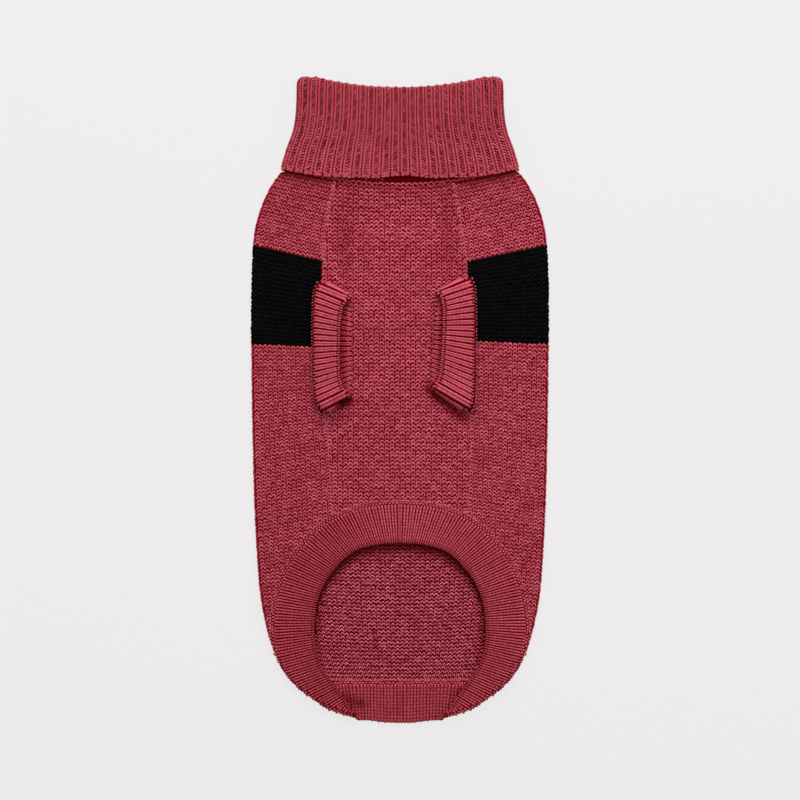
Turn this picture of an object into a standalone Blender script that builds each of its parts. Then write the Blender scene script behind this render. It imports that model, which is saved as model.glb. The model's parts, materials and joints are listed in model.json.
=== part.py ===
"""Dog sweater with a folded roll neck, laid flat on a table with its belly side up.

Frame: +X to the right, +Y from the tail towards the neck, +Z up from the table, origin under the middle of the
garment. Sizes are in millimetres here and become metres in as_object().

The knitted body is one flattened tube: the back panel lies on the table, turns up round both sides and meets the
belly panel at two seams on top. Each leg opening is a gap in such a seam with a ribbed cuff round it. The roll
neck is a ribbed tube folded down over itself, and a ribbed band goes all round the slanting rear opening.
"""

import math
from typing import NamedTuple

import bmesh
import bpy
import numpy as np

MM = 0.001

# Cloth
WALL = 2.0  # thickness of the knit
SEAM_GAP = 0.4  # between two pieces that are sewn together
REST_GAP = 0.3  # between two pieces that lie on each other
FOLD_RADIUS = 1.6  # of the middle of the wall, where the flattened tube turns round at its sides
HALF_WALL = WALL / 2
FOLD_LENGTH = math.pi * FOLD_RADIUS
FOLD_SLACK = (math.pi / 2 - 1) * FOLD_RADIUS  # what a quarter turn takes beyond its own width

# Body
BODY_CENTRE = FOLD_RADIUS + HALF_WALL  # height of the tube's centre where it lies on the table
NECK_SEAM = 138.0  # along Y, at the middle of the neck
NECK_SEAM_RISE = 10.5  # how much further up the seam lies at the sides
NECK_HALF_WIDTH = 71.2
REAR_SEAM = -179.3  # along Y, where the back panel meets the hem band
BELLY_CORNER = -74.0  # along Y, where the belly seams meet the hem band
LOFT = 1.1  # how far the top layer stands off the lower one in the middle
LOFT_START = 132.0  # along Y, where the top layer starts to stand off, below the neck
LOFT_FULL = 96.0  # along Y, where it does so fully
TROUGH_DEPTH = 0.8  # of the soft troughs in the belly panel, beside the seams below the neck
TROUGH_HALF_WIDTH = 7.0
TROUGH_X = (-34.5, 30.5)
TROUGH_ALONG = (100.0, 34.0)  # middle and half length along Y
BACK_HALF_COLUMNS = 12
BELLY_COLUMNS = 17
FOLD_SPREAD = 4.0  # distance round the side fold in which the back panel's columns lie closer together
FOLD_WEIGHT = 6.5
ARCH_FADE = 60.0  # how far above the rear opening the belly's rows still curve with it

# Roll neck
COLLAR_WALL = 2.0
COLLAR_LIFT_START = 108.0  # where the body starts to rise to the neck tube's height
COLLAR_GAP = 0.4  # between the neck tube and the part folded down over it
COLLAR_INNER = FOLD_RADIUS - HALF_WALL  # from the neck's mid plane to the neck tube's inner face
COLLAR_OUTER = COLLAR_INNER + 2 * COLLAR_WALL + COLLAR_GAP
COLLAR_TURN = (COLLAR_OUTER - COLLAR_INNER) / 2  # radius of the fold's outer face
COLLAR_TOP = 198.1  # along Y, the fold at the middle of the neck
COLLAR_TOP_RISE = 6.4  # how much further up the fold lies near the sides
COLLAR_RISE_END = 0.9  # share of the neck's half width beyond which the fold rises no further
COLLAR_EDGE = 140.8  # along Y, the loose edge at the middle of the neck
COLLAR_EDGE_RISE = 4.8
COLLAR_RIBS = 23  # across the upper face
COLLAR_RIB = 0.6
COLLAR_END_STEPS = 6  # flat strips round either end
COLLAR_UNDER_STEPS = 6  # flat strips across the face that lies on the table

# Hem band and cuffs
HEM_WIDTH = 25.0
HEM_RIB_PITCH = 3.5  # round the sides and the belly, in the middle of the band
HEM_BACK_PITCH = 4.2  # across the back, where the band lies stretched
HEM_PITCH_ROWS = (6.0, 10.0)  # rows of HEM_BAND between which the one becomes the other
HEM_RIB = 0.5
HEM_ROWS = 7
HEM_INNER_SHARE = 2  # the plain inner face has one column for each two of the ribbed face
HEM_FOLD_SPREAD = 0.11  # share of the width round the side fold in which the rows lie closer together
HEM_FOLD_WEIGHT = 7.0
CUFF_RIBS = 20  # on each of a cuff's two layers
CUFF_RIB = 0.5
CUFF_WALL = 1.6
CUFF_HALF_GAP = 1.7  # from a cuff's mid plane to the middle of either layer, at its mouth
CUFF_ROWS = 6
CUFF_ROOT_ROUND = 3.5  # how long the round ends of a leg opening are
CUFF_ROOT_END = 2.5  # from the opening's middle line to the cuff's wall, at the ends
CUFF_LEAN = 0.3  # how directly the under layer leaves its root
CUFF_CROWN = 1.4  # how steeply the upper layer rises from its root
CUFF_END_SLANT = 0.15  # how far the upper layer falls short of the under one at the mouth's ends, as a share
CUFF_CURL_START = 0.8  # share of the way down from which the mouth opens towards its curl
CUFF_RIB_START = 0.2  # share of the way out at which the ribs are whole

# Ribs stand up on cloth that faces up or sideways. These are heights of its unit normal.
RIB_NONE = -0.75
RIB_WHOLE = 0.15

# Edges sharper than this, in degrees, are shaded sharp
PLAIN_ANGLE = 50
RIBBED_ANGLE = 8

CLOTH_RED = (0.36, 0.045, 0.062, 1.0)
RIB_RED = (0.33, 0.04, 0.055, 1.0)


class Girth(NamedTuple):
    along: float  # along Y
    half: float  # from the centre line to the middle of the wall at the side fold


GIRTHS = [
    Girth(150.0, 69.9),
    Girth(147.8, 70.3),
    Girth(145.4, 71.9),
    Girth(142.8, 75.4),
    Girth(139.5, 78.3),
    Girth(133.0, 82.2),
    Girth(126.8, 85.4),
    Girth(114.0, 89.9),
    Girth(98.0, 92.4),
    Girth(63.0, 93.6),
    Girth(0.0, 93.1),
    Girth(-64.0, 91.7),
    Girth(-108.0, 89.3),
    Girth(-128.0, 87.2),
    Girth(-141.0, 84.7),
    Girth(-153.0, 81.5),
    Girth(-163.0, 78.1),
    Girth(-172.0, 73.7),
    Girth(-178.5, 68.5),
    Girth(-185.0, 62.0),
]


class Seam(NamedTuple):
    along: float  # along Y
    left: float  # X of the seam on the left
    right: float  # X of the seam on the right


BELLY_SEAMS = [
    Seam(138.0, -40.7, 32.4),
    Seam(127.0, -43.4, 35.6),
    Seam(108.0, -47.4, 38.8),
    Seam(87.5, -49.0, 41.8),
    Seam(76.5, -50.2, 43.5),
    Seam(-8.5, -47.2, 44.0),
    Seam(-26.0, -45.3, 44.4),
    Seam(-45.0, -44.0, 43.8),
    Seam(-74.0, -42.6, 42.6),
]


class Cuff(NamedTuple):
    side: int  # -1 on the left, 1 on the right
    root_top: float  # along Y, the ends of the leg opening
    root_bottom: float
    root_middle: float  # X of the opening's middle line, halfway down
    root_half: float  # half the distance between the cuff's two roots, halfway down
    mouth_top: float  # along Y, the ends of the mouth
    mouth_bottom: float
    mouth_upper: float  # X of the upper layer's loose edge, halfway down
    mouth_under: float  # X of the lower layer's loose edge, halfway down
    mouth_lean: float  # how much nearer the middle line the mouth's lower end lies
    curl: float  # radius of the middle of the wall at the mouth's lower end


CUFFS = {
    "cuff_left": Cuff(-1, 75.2, -8.0, -50.6, 4.4, 64.8, 2.6, -38.0, -30.8, -0.8, 2.4),
    "cuff_right": Cuff(1, 77.6, -7.4, 43.5, 4.1, 67.8, 8.4, 26.4, 21.2, 3.0, 2.3),
}


class Collar(NamedTuple):
    along: float  # along Y
    half: float  # half the width of the neck's flat mid plane


COLLAR_WIDTHS = [
    Collar(205.0, 57.4),
    Collar(202.0, 59.5),
    Collar(198.0, 59.9),
    Collar(184.0, 60.3),
    Collar(171.0, 62.2),
    Collar(158.5, 66.6),
    Collar(146.0, 70.2),
    Collar(138.0, 71.0),
]


class Band(NamedTuple):
    """One rib of the hem band. Its fold point is where the band turns from the lower layer to the upper one, or
    would turn if it reached that far."""

    seam_x: float
    seam_y: float
    fold_x: float
    fold_y: float
    edge_x: float
    edge_y: float
    seam_over: int  # 1 on the upper layer, -1 on the lower one
    edge_over: int


# From the middle of the back, round the right side, to the middle of the belly. The left half mirrors it.
HEM_BAND = [
    Band(0.0, -179.3, 0.0, -211.0, 0.0, -205.1, -1, -1),
    Band(9.5, -179.3, 9.2, -210.5, 9.0, -204.8, -1, -1),
    Band(19.0, -179.3, 18.2, -208.5, 18.0, -203.7, -1, -1),
    Band(25.5, -179.3, 24.1, -205.2, 23.9, -203.4, -1, -1),
    Band(31.5, -179.3, 29.0, -200.9, 28.4, -199.7, -1, 1),
    Band(36.5, -179.3, 33.6, -199.8, 31.2, -196.2, -1, 1),
    Band(41.5, -179.3, 39.6, -198.0, 33.2, -192.6, -1, 1),
    Band(47.0, -179.3, 46.8, -195.2, 35.9, -188.4, -1, 1),
    Band(53.8, -179.3, 54.4, -190.0, 40.4, -182.6, -1, 1),
    Band(60.6, -178.2, 62.9, -184.0, 45.1, -176.4, -1, 1),
    Band(67.2, -174.6, 69.6, -177.2, 49.3, -170.0, -1, 1),
    Band(73.3, -168.9, 75.0, -169.9, 52.1, -163.1, -1, 1),
    Band(77.8, -162.6, 78.2, -162.8, 53.7, -157.0, -1, 1),
    Band(80.4, -153.9, 81.3, -153.9, 54.4, -150.3, 1, 1),
    Band(81.4, -143.3, 84.2, -143.3, 54.4, -142.7, 1, 1),
    Band(80.1, -131.3, 86.6, -130.3, 53.8, -134.5, 1, 1),
    Band(77.2, -119.2, 88.6, -116.4, 51.8, -125.5, 1, 1),
    Band(72.5, -106.5, 89.0, -99.3, 48.3, -117.0, 1, 1),
    Band(64.8, -94.4, 80.9, -84.2, 42.6, -108.4, 1, 1),
    Band(54.7, -83.0, 67.8, -70.3, 35.9, -101.1, 1, 1),
    Band(42.8, -74.4, 53.4, -59.8, 28.0, -95.4, 1, 1),
    Band(29.5, -68.6, 36.6, -52.3, 19.1, -92.5, 1, 1),
    Band(15.0, -65.7, 18.9, -48.8, 9.5, -91.0, 1, 1),
    Band(0.0, -64.8, 0.0, -46.8, 0.0, -90.6, 1, 1),
]

# Rows of both panels along Y, down the belly seams, and of the back panel alone, down the rear opening.
SEAM_ROWS = [
    138.0, 134.5, 130.0, 124.0, 117.0, 108.0, 98.0, 87.0, 77.6, 75.2, 71.5, 63.0, 50.0, 36.0, 22.0, 8.0, -1.5,
    -5.5, -8.0, -16.0, -28.0, -42.0, -58.0, -74.0,
]  # fmt: skip
REAR_ROWS = [
    -79.5, -85.5, -92.0, -99.0, -107.0, -115.0, -124.0, -134.0, -142.0, -147.5, -152.0, -155.5, -159.0, -162.5,
    -167.0, -171.5, -175.0, -177.5, -179.3,
]  # fmt: skip

SETTLE_ROUNDS = 6  # rounds that settle a place which depends on itself
SLOPE_STEP = 0.5  # along Y, over which the outline's slope is read
NORMAL_STEP = 0.05  # over which a panel's slopes are read
SEAM_SPAN = 0.1  # above its straight stretch across the back, the hem seam is read from here


def smooth_step(value, low, high):
    share = np.clip((np.asarray(value, float) - low) / (high - low), 0.0, 1.0)
    return share * share * (3.0 - 2.0 * share)


def smooth_rows(rows, at):
    """The rows' numbers at places 0, 1, 2 ... joined by a smooth curve through them, at any places between."""
    rows = np.asarray(rows, float)
    at = np.clip(np.asarray(at, float), 0.0, len(rows) - 1.0)
    low = np.minimum(at.astype(int), len(rows) - 2)
    t = (at - low)[..., None]
    before, start = rows[np.maximum(low - 1, 0)], rows[low]
    end, after = rows[low + 1], rows[np.minimum(low + 2, len(rows) - 1)]
    leave, arrive = (end - before) / 2, (after - start) / 2
    bend = 3 * (end - start) - 2 * leave - arrive
    twist = 2 * (start - end) + leave + arrive
    return start + t * (leave + t * (bend + t * twist))


def table_curve(rows, column, steps=12):
    """A function of Y that follows one column of a table smoothly."""
    table = smooth_rows(rows, np.arange((len(rows) - 1) * steps + 1) / steps)
    order = np.argsort(table[:, 0])
    along, values = table[order, 0], table[order, column]
    return lambda y: np.interp(y, along, values)


half_girth = table_curve(GIRTHS, 1)
seam_left = table_curve(BELLY_SEAMS, 1)
seam_right = table_curve(BELLY_SEAMS, 2)
collar_half = table_curve(COLLAR_WIDTHS, 1)


def neck_share(y):
    return smooth_step(y, COLLAR_LIFT_START, NECK_SEAM)


def centre_height(y):
    """Height of the flattened tube's centre. It rises at the neck, where the folded collar holds it up."""
    return BODY_CENTRE + (COLLAR_OUTER - BODY_CENTRE) * neck_share(y)


def loft(x, y):
    """How far the top layer stands up beyond its lowest lie."""
    crown = np.clip(1.0 - (np.asarray(x) / half_girth(y)) ** 2, 0.0, 1.0)
    puff = LOFT * crown * (1.0 - smooth_step(y, LOFT_FULL, LOFT_START))
    middle, half_length = TROUGH_ALONG
    reach = np.clip(1.0 - ((np.asarray(y) - middle) / half_length) ** 2, 0.0, 1.0)
    for trough in TROUGH_X:
        puff = puff - TROUGH_DEPTH * reach * np.exp(-(((x - trough) / TROUGH_HALF_WIDTH) ** 2))
    return puff


def top_height(x, y):
    """Height of the middle of the wall on the top layer, away from the side folds."""
    return centre_height(y) + FOLD_RADIUS + loft(x, y)


def fold_reach(y):
    """Width of the side fold along X. A slanting outline cuts the round fold at a slant."""
    slope = (half_girth(y + SLOPE_STEP) - half_girth(y - SLOPE_STEP)) / (2 * SLOPE_STEP)
    return FOLD_RADIUS * np.sqrt(1.0 + slope**2)


def body_point(around, y):
    """Middle of the wall of the body tube, at a distance round it from the middle of the back."""
    side, around = np.where(around < 0, -1.0, 1.0), np.abs(around)
    reach = fold_reach(y)
    flat = half_girth(y) - reach
    turn = np.clip((around - flat) / FOLD_LENGTH, 0.0, 1.0) * math.pi
    past = np.maximum(around - flat - FOLD_LENGTH, 0.0)
    x = side * (np.minimum(around, flat) + reach * np.sin(turn) - past)
    z = centre_height(y) - FOLD_RADIUS * np.cos(turn) + np.where(turn > math.pi / 2, loft(x, y), 0.0)
    return np.stack([x, y + 0.0 * x, z], axis=-1)


def around_of(x, y, over):
    """Distance round the body tube of a point that is seen at x, on the upper or the lower layer."""
    reach = fold_reach(y)
    flat = half_girth(y) - reach
    turn = math.asin(min(max((x - flat) / reach, 0.0), 1.0))
    near = min(x, flat) + FOLD_LENGTH * turn / math.pi
    return 2 * flat + FOLD_LENGTH - near if over > 0 else near


def neck_rise(x):
    return NECK_SEAM_RISE * np.minimum(np.abs(x) / NECK_HALF_WIDTH, 1.0) ** 2


def armhole(cuff, y):
    """0 beyond the ends of a leg opening, rising to 1 halfway down."""
    middle = (cuff.root_top + cuff.root_bottom) / 2
    half_length = (cuff.root_top - cuff.root_bottom) / 2
    return np.sqrt(np.clip(1.0 - ((y - middle) / half_length) ** 4, 0.0, 1.0))


def belly_edge(side, y, outwards):
    """X of a belly seam. Beside a leg opening it parts into the back panel's edge, outwards 1, and the belly
    panel's, outwards -1."""
    cuff = next(c for c in CUFFS.values() if c.side == side)
    seam = seam_left(y) if side < 0 else seam_right(y)
    share = armhole(cuff, y)
    open_half = cuff.root_half - HALF_WALL - REST_GAP
    edge = cuff.root_middle + side * outwards * open_half
    return seam * (1 - share) + edge * share + side * outwards * SEAM_GAP / 2 * (1 - share)


def seam_corner(side, y, outwards):
    """X and Y of a belly seam where it crosses the row of knitting that passes through y in the middle."""
    seam_y = y
    for _ in range(SETTLE_ROUNDS):
        x = float(belly_edge(side, seam_y, outwards))
        seam_y = y + float(neck_rise(x) * neck_share(y))
    return x, seam_y


def surface_normals(point, a, b, step_a, step_b):
    """Unit normals of the surface point(a, b), by its slopes along a and b."""
    along_a = point(a + step_a, b) - point(a - step_a, b)
    along_b = point(a, b + step_b) - point(a, b - step_b)
    normals = np.cross(along_a, along_b)
    return normals / np.linalg.norm(normals, axis=-1, keepdims=True)


def dense_near(count, start, end, place, half_width, weight):
    """count + 1 numbers from start to end, set closer together near a place. One of them is the place itself."""
    line = np.linspace(start, end, 400)
    density = 1.0 + weight * np.exp(-(((line - place) / half_width) ** 2))
    total = np.concatenate([[0.0], np.cumsum((density[1:] + density[:-1]) / 2)])
    numbers = np.interp(np.linspace(0.0, total[-1], count + 1), total, line)
    nearest = int(np.argmin(np.abs(numbers - place)))
    if 0 < nearest < count:
        numbers = np.interp(numbers, [start, numbers[nearest], end], [start, place, end])
    return numbers


def grid_faces(rows, columns, offset, closed=False):
    """Quads of a grid of points. A closed grid joins its last column to its first."""
    faces = []
    for r in range(rows - 1):
        for c in range(columns if closed else columns - 1):
            d = (c + 1) % columns
            low, high = offset + r * columns, offset + (r + 1) * columns
            faces.append((low + c, low + d, high + d, high + c))
    return faces


def as_object(name, points, faces, colour, origin, smooth_angle=RIBBED_ANGLE):
    """A closed mesh as an object whose origin is its own seam or middle, with its faces pointing out."""
    origin = np.asarray(origin, float)
    mesh = bpy.data.meshes.new(name)
    mesh.from_pydata(((np.asarray(points) - origin) * MM).tolist(), [], faces)
    built = bmesh.new()
    built.from_mesh(mesh)
    bmesh.ops.recalc_face_normals(built, faces=built.faces)
    bmesh.ops.triangulate(built, faces=built.faces)
    built.to_mesh(mesh)
    built.free()
    mesh.shade_smooth()
    mesh.set_sharp_from_angle(angle=math.radians(smooth_angle))
    material = bpy.data.materials.new(name)
    material.use_nodes = True
    shader = material.node_tree.nodes["Principled BSDF"]
    shader.inputs["Base Color"].default_value = colour
    shader.inputs["Roughness"].default_value = 0.9
    shader.inputs["Metallic"].default_value = 0.0
    mesh.materials.append(material)
    made = bpy.data.objects.new(name, mesh)
    bpy.context.scene.collection.objects.link(made)
    made.location = origin * MM
    made.parent = garment
    return made


def panel(name, outer, inner, colour, origin):
    """A wall between two grids of points, closed by a rim along all four sides."""
    rows, columns = outer.shape[:2]
    count = rows * columns
    faces = grid_faces(rows, columns, 0) + grid_faces(rows, columns, count)
    rim = [(0, c) for c in range(columns)] + [(r, columns - 1) for r in range(1, rows)]
    rim += [(rows - 1, c) for c in range(columns - 2, -1, -1)] + [(r, 0) for r in range(rows - 2, 0, -1)]
    places = [r * columns + c for r, c in rim]
    for here, there in zip(places, places[1:] + places[:1]):
        faces.append((here, there, count + there, count + here))
    points = np.concatenate([outer.reshape(-1, 3), inner.reshape(-1, 3)])
    return as_object(name, points, faces, colour, origin, PLAIN_ANGLE)


def band_faces(fine, coarse, anchors, count):
    """Faces between a ring of points and one with fewer, whose points lie beside the anchors of the first."""
    faces = []
    for j, first in enumerate(anchors):
        last = anchors[(j + 1) % len(anchors)]
        steps = (last - first) % count
        here, there = coarse + j, coarse + (j + 1) % len(anchors)
        middle = steps // 2
        for i in range(steps):
            a, b = fine + (first + i) % count, fine + (first + i + 1) % count
            faces.append((a, b, here if i < middle else there))
            if i == middle - 1 or (middle == 0 and i == 0):
                turn = b if middle else a
                faces.append((turn, there, here))
    return faces


def tube(name, ribbed, plain, anchors, colour, origin):
    """A closed wall round an opening: rings of the ribbed face, then rings of the plain face with fewer points."""
    rows, columns = ribbed.shape[:2]
    plain_rows, plain_columns = plain.shape[:2]
    start = rows * columns
    faces = grid_faces(rows, columns, 0, closed=True)
    faces += grid_faces(plain_rows, plain_columns, start, closed=True)
    faces += band_faces((rows - 1) * columns, start, anchors, columns)
    faces += band_faces(0, start + (plain_rows - 1) * plain_columns, anchors, columns)
    points = np.concatenate([ribbed.reshape(-1, 3), plain.reshape(-1, 3)])
    return as_object(name, points, faces, colour, origin)


def rib_share(up):
    """Ribs stand up where the cloth's normal points up or sideways, and lie flat where it rests on something."""
    return smooth_step(up, RIB_NONE, RIB_WHOLE)


def rib_wave(places):
    """1 on a rib and 0 in the groove beside it, for places counted in ribs."""
    return 0.5 + 0.5 * np.cos(2 * math.pi * places)


# ---------------------------------------------------------------------------------- back and belly panels
def rear_seam():
    """Y and the distance round the body tube along the hem seam, from the middle of the back to the belly."""
    places = np.linspace(0.0, len(HEM_BAND) - 1.0, 8 * len(HEM_BAND))
    found = []
    for x, y, z in hem_point(places, np.zeros_like(places)):
        flat = float(half_girth(y) - fold_reach(y))
        up = (z - float(centre_height(y))) / FOLD_RADIUS
        if x > flat and abs(up) < 1.0:
            around = flat + FOLD_RADIUS * math.acos(-up)
        else:
            around = x if up < 0 else 2 * flat + FOLD_LENGTH - x
        if y > REAR_SEAM + SEAM_SPAN:
            found.append((y, around))
    return np.array(found)


def back_ends(y, seam):
    """Distances round the tube at which a row of the back panel ends, on the left and on the right."""
    if y < BELLY_CORNER:
        end = float(np.interp(y, seam[:, 0], seam[:, 1])) - SEAM_GAP
        return -end, end
    ends = []
    for side in (-1, 1):
        x, seam_y = seam_corner(side, y, 1)
        ends.append(side * around_of(side * x, seam_y, 1))
    return ends


def back_panel():
    seam = rear_seam()
    around, along = [], []
    for y in SEAM_ROWS + REAR_ROWS:
        left, right = back_ends(y, seam)
        fold_y = y + NECK_SEAM_RISE * neck_share(y)
        apex = float(half_girth(fold_y) - fold_reach(fold_y)) + FOLD_LENGTH / 2
        halves = [dense_near(BACK_HALF_COLUMNS, 0.0, end, apex, FOLD_SPREAD, FOLD_WEIGHT) for end in (-left, right)]
        around.append(np.concatenate([-halves[0][::-1], halves[1][1:]]))
        along.append(np.full(2 * BACK_HALF_COLUMNS + 1, y))
    around, rows = np.array(around), np.array(along)
    along = rows
    for _ in range(SETTLE_ROUNDS):
        along = rows + neck_rise(body_point(around, along)[..., 0]) * neck_share(rows)
    middle = body_point(around, along)
    normals = -surface_normals(body_point, around, along, NORMAL_STEP, NORMAL_STEP)
    outer, inner = middle + normals * HALF_WALL, middle - normals * HALF_WALL
    return panel("back_panel", outer, inner, CLOTH_RED, (0, NECK_SEAM, 0))


def arch_drop(x):
    """How far the belly panel's lower edge curves down on its way to the seams."""
    last = len(HEM_BAND) - 1.0
    curve = smooth_rows(HEM_BAND, np.linspace(last, last - 4.0, 17))
    return np.interp(np.abs(x), curve[:, 0], curve[:, 1]) - curve[0, 1]


def belly_point(x, y):
    return np.stack([x + 0.0 * y, y + 0.0 * x, top_height(x, y)], axis=-1)


def belly_panel():
    across = np.linspace(0.0, 1.0, BELLY_COLUMNS)
    columns, rows = [], []
    for y in SEAM_ROWS:
        left, right = (seam_corner(side, y, -1)[0] for side in (-1, 1))
        x = left + (right - left) * across
        arch = 1.0 - smooth_step(y, BELLY_CORNER, BELLY_CORNER + ARCH_FADE)
        corner_drop = arch_drop(left) + (arch_drop(right) - arch_drop(left)) * across
        columns.append(x)
        rows.append(y + neck_rise(x) * neck_share(y) + (arch_drop(x) - corner_drop) * arch)
    columns, rows = np.array(columns), np.array(rows)
    middle = belly_point(columns, rows)
    normals = surface_normals(belly_point, columns, rows, NORMAL_STEP, NORMAL_STEP)
    outer, inner = middle + normals * HALF_WALL, middle - normals * HALF_WALL
    return panel("belly_panel", outer, inner, CLOTH_RED, (0, NECK_SEAM, 0))


# ------------------------------------------------------------------------------------------------ hem band
def band_rows():
    """The band's ribs as numbers: seam, fold and edge points, then the signed lengths from fold to seam and edge."""
    rows = np.array(HEM_BAND, float)
    seam, fold, edge = rows[:, 0:2], rows[:, 2:4], rows[:, 4:6]
    to_seam = rows[:, 6] * (np.linalg.norm(seam - fold, axis=1) + FOLD_SLACK)
    to_edge = rows[:, 7] * (np.linalg.norm(edge - fold, axis=1) + FOLD_SLACK)
    return np.column_stack([seam, fold, edge, to_seam, to_edge])


BAND_ROWS = band_rows()


def hem_point(place, across):
    """Middle of the band's wall. place counts the table's rows, below 0 on the left half, and across goes from 0
    at the seam to 1 at the loose edge."""
    side = np.where(place < 0, -1.0, 1.0)
    rows = smooth_rows(BAND_ROWS, np.abs(place))
    seam, fold, edge = rows[..., 0:2], rows[..., 2:4], rows[..., 4:6]
    to_seam, to_edge = rows[..., 6], rows[..., 7]
    run = to_seam + (to_edge - to_seam) * across
    turn = np.clip(run / FOLD_RADIUS, -math.pi / 2, math.pi / 2)
    inwards = FOLD_RADIUS * (1 - np.cos(turn)) + np.maximum(np.abs(run) - FOLD_LENGTH / 2, 0.0)
    over, under = edge - fold, seam - fold
    over = np.where((to_edge > FOLD_SLACK)[..., None], over, -under)
    under = np.where((to_seam < -FOLD_SLACK)[..., None], under, -over)
    way = np.where((run >= 0)[..., None], over, under)
    way = way / np.linalg.norm(way, axis=-1, keepdims=True)
    flat = fold + way * inwards[..., None]
    x, y = side * flat[..., 0], flat[..., 1]
    z = centre_height(y) + FOLD_RADIUS * np.sin(turn) + np.where(run > 0, loft(x, y), 0.0)
    return np.stack([x, y, z], axis=-1)


def hem_columns():
    """Places of the ribbed face's columns, two to a rib, spaced by the ribs' pitch in the middle of the band."""
    last = len(HEM_BAND) - 1.0
    fine = np.linspace(0.0, last, 400)
    line = hem_point(fine, np.full_like(fine, 0.5))
    pitch = HEM_BACK_PITCH + (HEM_RIB_PITCH - HEM_BACK_PITCH) * smooth_step(fine[1:], *HEM_PITCH_ROWS)
    passed = np.concatenate([[0.0], np.cumsum(np.linalg.norm(np.diff(line, axis=0), axis=1) / pitch)])
    ribs = round(passed[-1])
    ribs += (-ribs) % HEM_INNER_SHARE
    half = np.interp(np.linspace(0.0, passed[-1], 2 * ribs + 1), passed, fine)
    return np.concatenate([half, -half[-2:0:-1]])


def hem_band():
    places = hem_columns()
    across = []
    for place in places:
        row = smooth_rows(BAND_ROWS, abs(place))
        fold_at = -row[6] / (row[7] - row[6])
        start = SEAM_GAP / HEM_WIDTH
        across.append(dense_near(HEM_ROWS - 1, start, 1.0, fold_at, HEM_FOLD_SPREAD, HEM_FOLD_WEIGHT))
    across = np.array(across).T
    place_grid = np.broadcast_to(places, across.shape)
    middle = hem_point(place_grid, across)
    normals = surface_normals(hem_point, place_grid + 1e-5, across, 1e-3, 1e-3)
    wave = rib_wave(np.arange(len(places)) / 2) * rib_share(normals[..., 2])
    ribbed = middle + normals * (HALF_WALL + HEM_RIB * wave)[..., None]
    anchors = list(range(0, len(places), HEM_INNER_SHARE))
    plain = (middle - normals * HALF_WALL)[::-1][:, anchors]
    return tube("hem_band", ribbed, plain, anchors, RIB_RED, (0, REAR_SEAM, 0))


# ------------------------------------------------------------------------------------------------- collar
def collar_ring(ribs):
    """Places round the flattened neck: a share across the flat part, which side of it, and an angle at the ends."""
    flat = np.linspace(-1.0, 1.0, 2 * ribs + 1)
    turns = np.linspace(0.0, math.pi, COLLAR_END_STEPS + 1)[1:-1]
    under = np.linspace(1.0, -1.0, COLLAR_UNDER_STEPS + 1)
    share = np.concatenate([flat, np.ones_like(turns), under, -np.ones_like(turns)])
    angle = np.concatenate([np.zeros_like(flat), turns, np.full_like(under, math.pi), turns + math.pi])
    return share, angle


def collar_point(share, angle, depth, y):
    """A point at a depth outwards from the neck's mid plane."""
    half = collar_half(y)
    x = share * half + depth * np.sin(angle)
    z = COLLAR_OUTER + depth * np.cos(angle)
    return np.stack([x, y + 0.0 * x, z], axis=-1)


def collar():
    share, angle = collar_ring(COLLAR_RIBS)
    spread = np.abs(share)
    seam = NECK_SEAM + SEAM_GAP + NECK_SEAM_RISE * spread**2
    top = COLLAR_TOP - COLLAR_TURN + COLLAR_TOP_RISE * np.minimum(spread / COLLAR_RISE_END, 1.0) ** 2
    edge = COLLAR_EDGE + COLLAR_EDGE_RISE * spread**4
    middle = (COLLAR_INNER + COLLAR_OUTER) / 2
    wave = rib_wave(np.arange(len(share)) / 2 + 0.5) * rib_share(np.cos(angle))
    rings = []

    def ring(depth, y, rib=0.0):
        rings.append(collar_point(share, angle, depth + rib * COLLAR_RIB * wave, y))

    for part in (0.0, 0.33, 0.66, 1.0):
        ring(COLLAR_INNER + COLLAR_WALL, seam + (top - seam) * part)
    ring(middle, top + COLLAR_GAP / 2)
    for part in (1.0, 0.66, 0.33, 0.0):
        ring(COLLAR_OUTER - COLLAR_WALL, edge + (top - edge) * part)
    ring(COLLAR_OUTER - COLLAR_WALL / 4, edge - 0.5, 0.5)
    for part in (0.04, 0.2, 0.4, 0.6, 0.8, 1.0):
        ring(COLLAR_OUTER, edge + (top - edge) * part, 1.0)
    for turn in (0.25, 0.5, 0.75):
        bow = COLLAR_TURN + COLLAR_RIB * wave
        depth = middle + bow * math.cos(turn * math.pi)
        rings.append(collar_point(share, angle, depth, top + bow * math.sin(turn * math.pi)))
    for part in (1.0, 0.75, 0.0):
        ring(COLLAR_INNER, seam + (top - seam) * part)
    rings = np.array(rings)
    rows, columns = rings.shape[:2]
    faces = grid_faces(rows, columns, 0, closed=True)
    last = (rows - 1) * columns
    faces += [(last + c, last + (c + 1) % columns, (c + 1) % columns, c) for c in range(columns)]
    return as_object("collar", rings.reshape(-1, 3), faces, RIB_RED, (0, NECK_SEAM, COLLAR_OUTER))


# -------------------------------------------------------------------------------------------------- cuffs
def cuff_ring(ribs):
    """Places round a cuff: down its upper layer, round the lower end, up its under layer, round the upper end.
    Each has its layer, -1 for the upper and 1 for the under one, its share down the straight part, and how far it
    stands out round an end, 1 at the upper end's tip and -1 at the lower one's."""
    steps = np.linspace(0.0, 1.0, 2 * ribs - 1)
    turns = np.linspace(0.0, math.pi, 5)[1:-1]
    layer = np.concatenate([-np.ones_like(steps), -np.cos(turns), np.ones_like(steps), np.cos(turns)])
    down = np.concatenate([steps, np.ones_like(turns), steps[::-1], np.zeros_like(turns)])
    end = np.concatenate([0 * steps, -np.sin(turns), 0 * steps, np.sin(turns)])
    return layer, down, end


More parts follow.
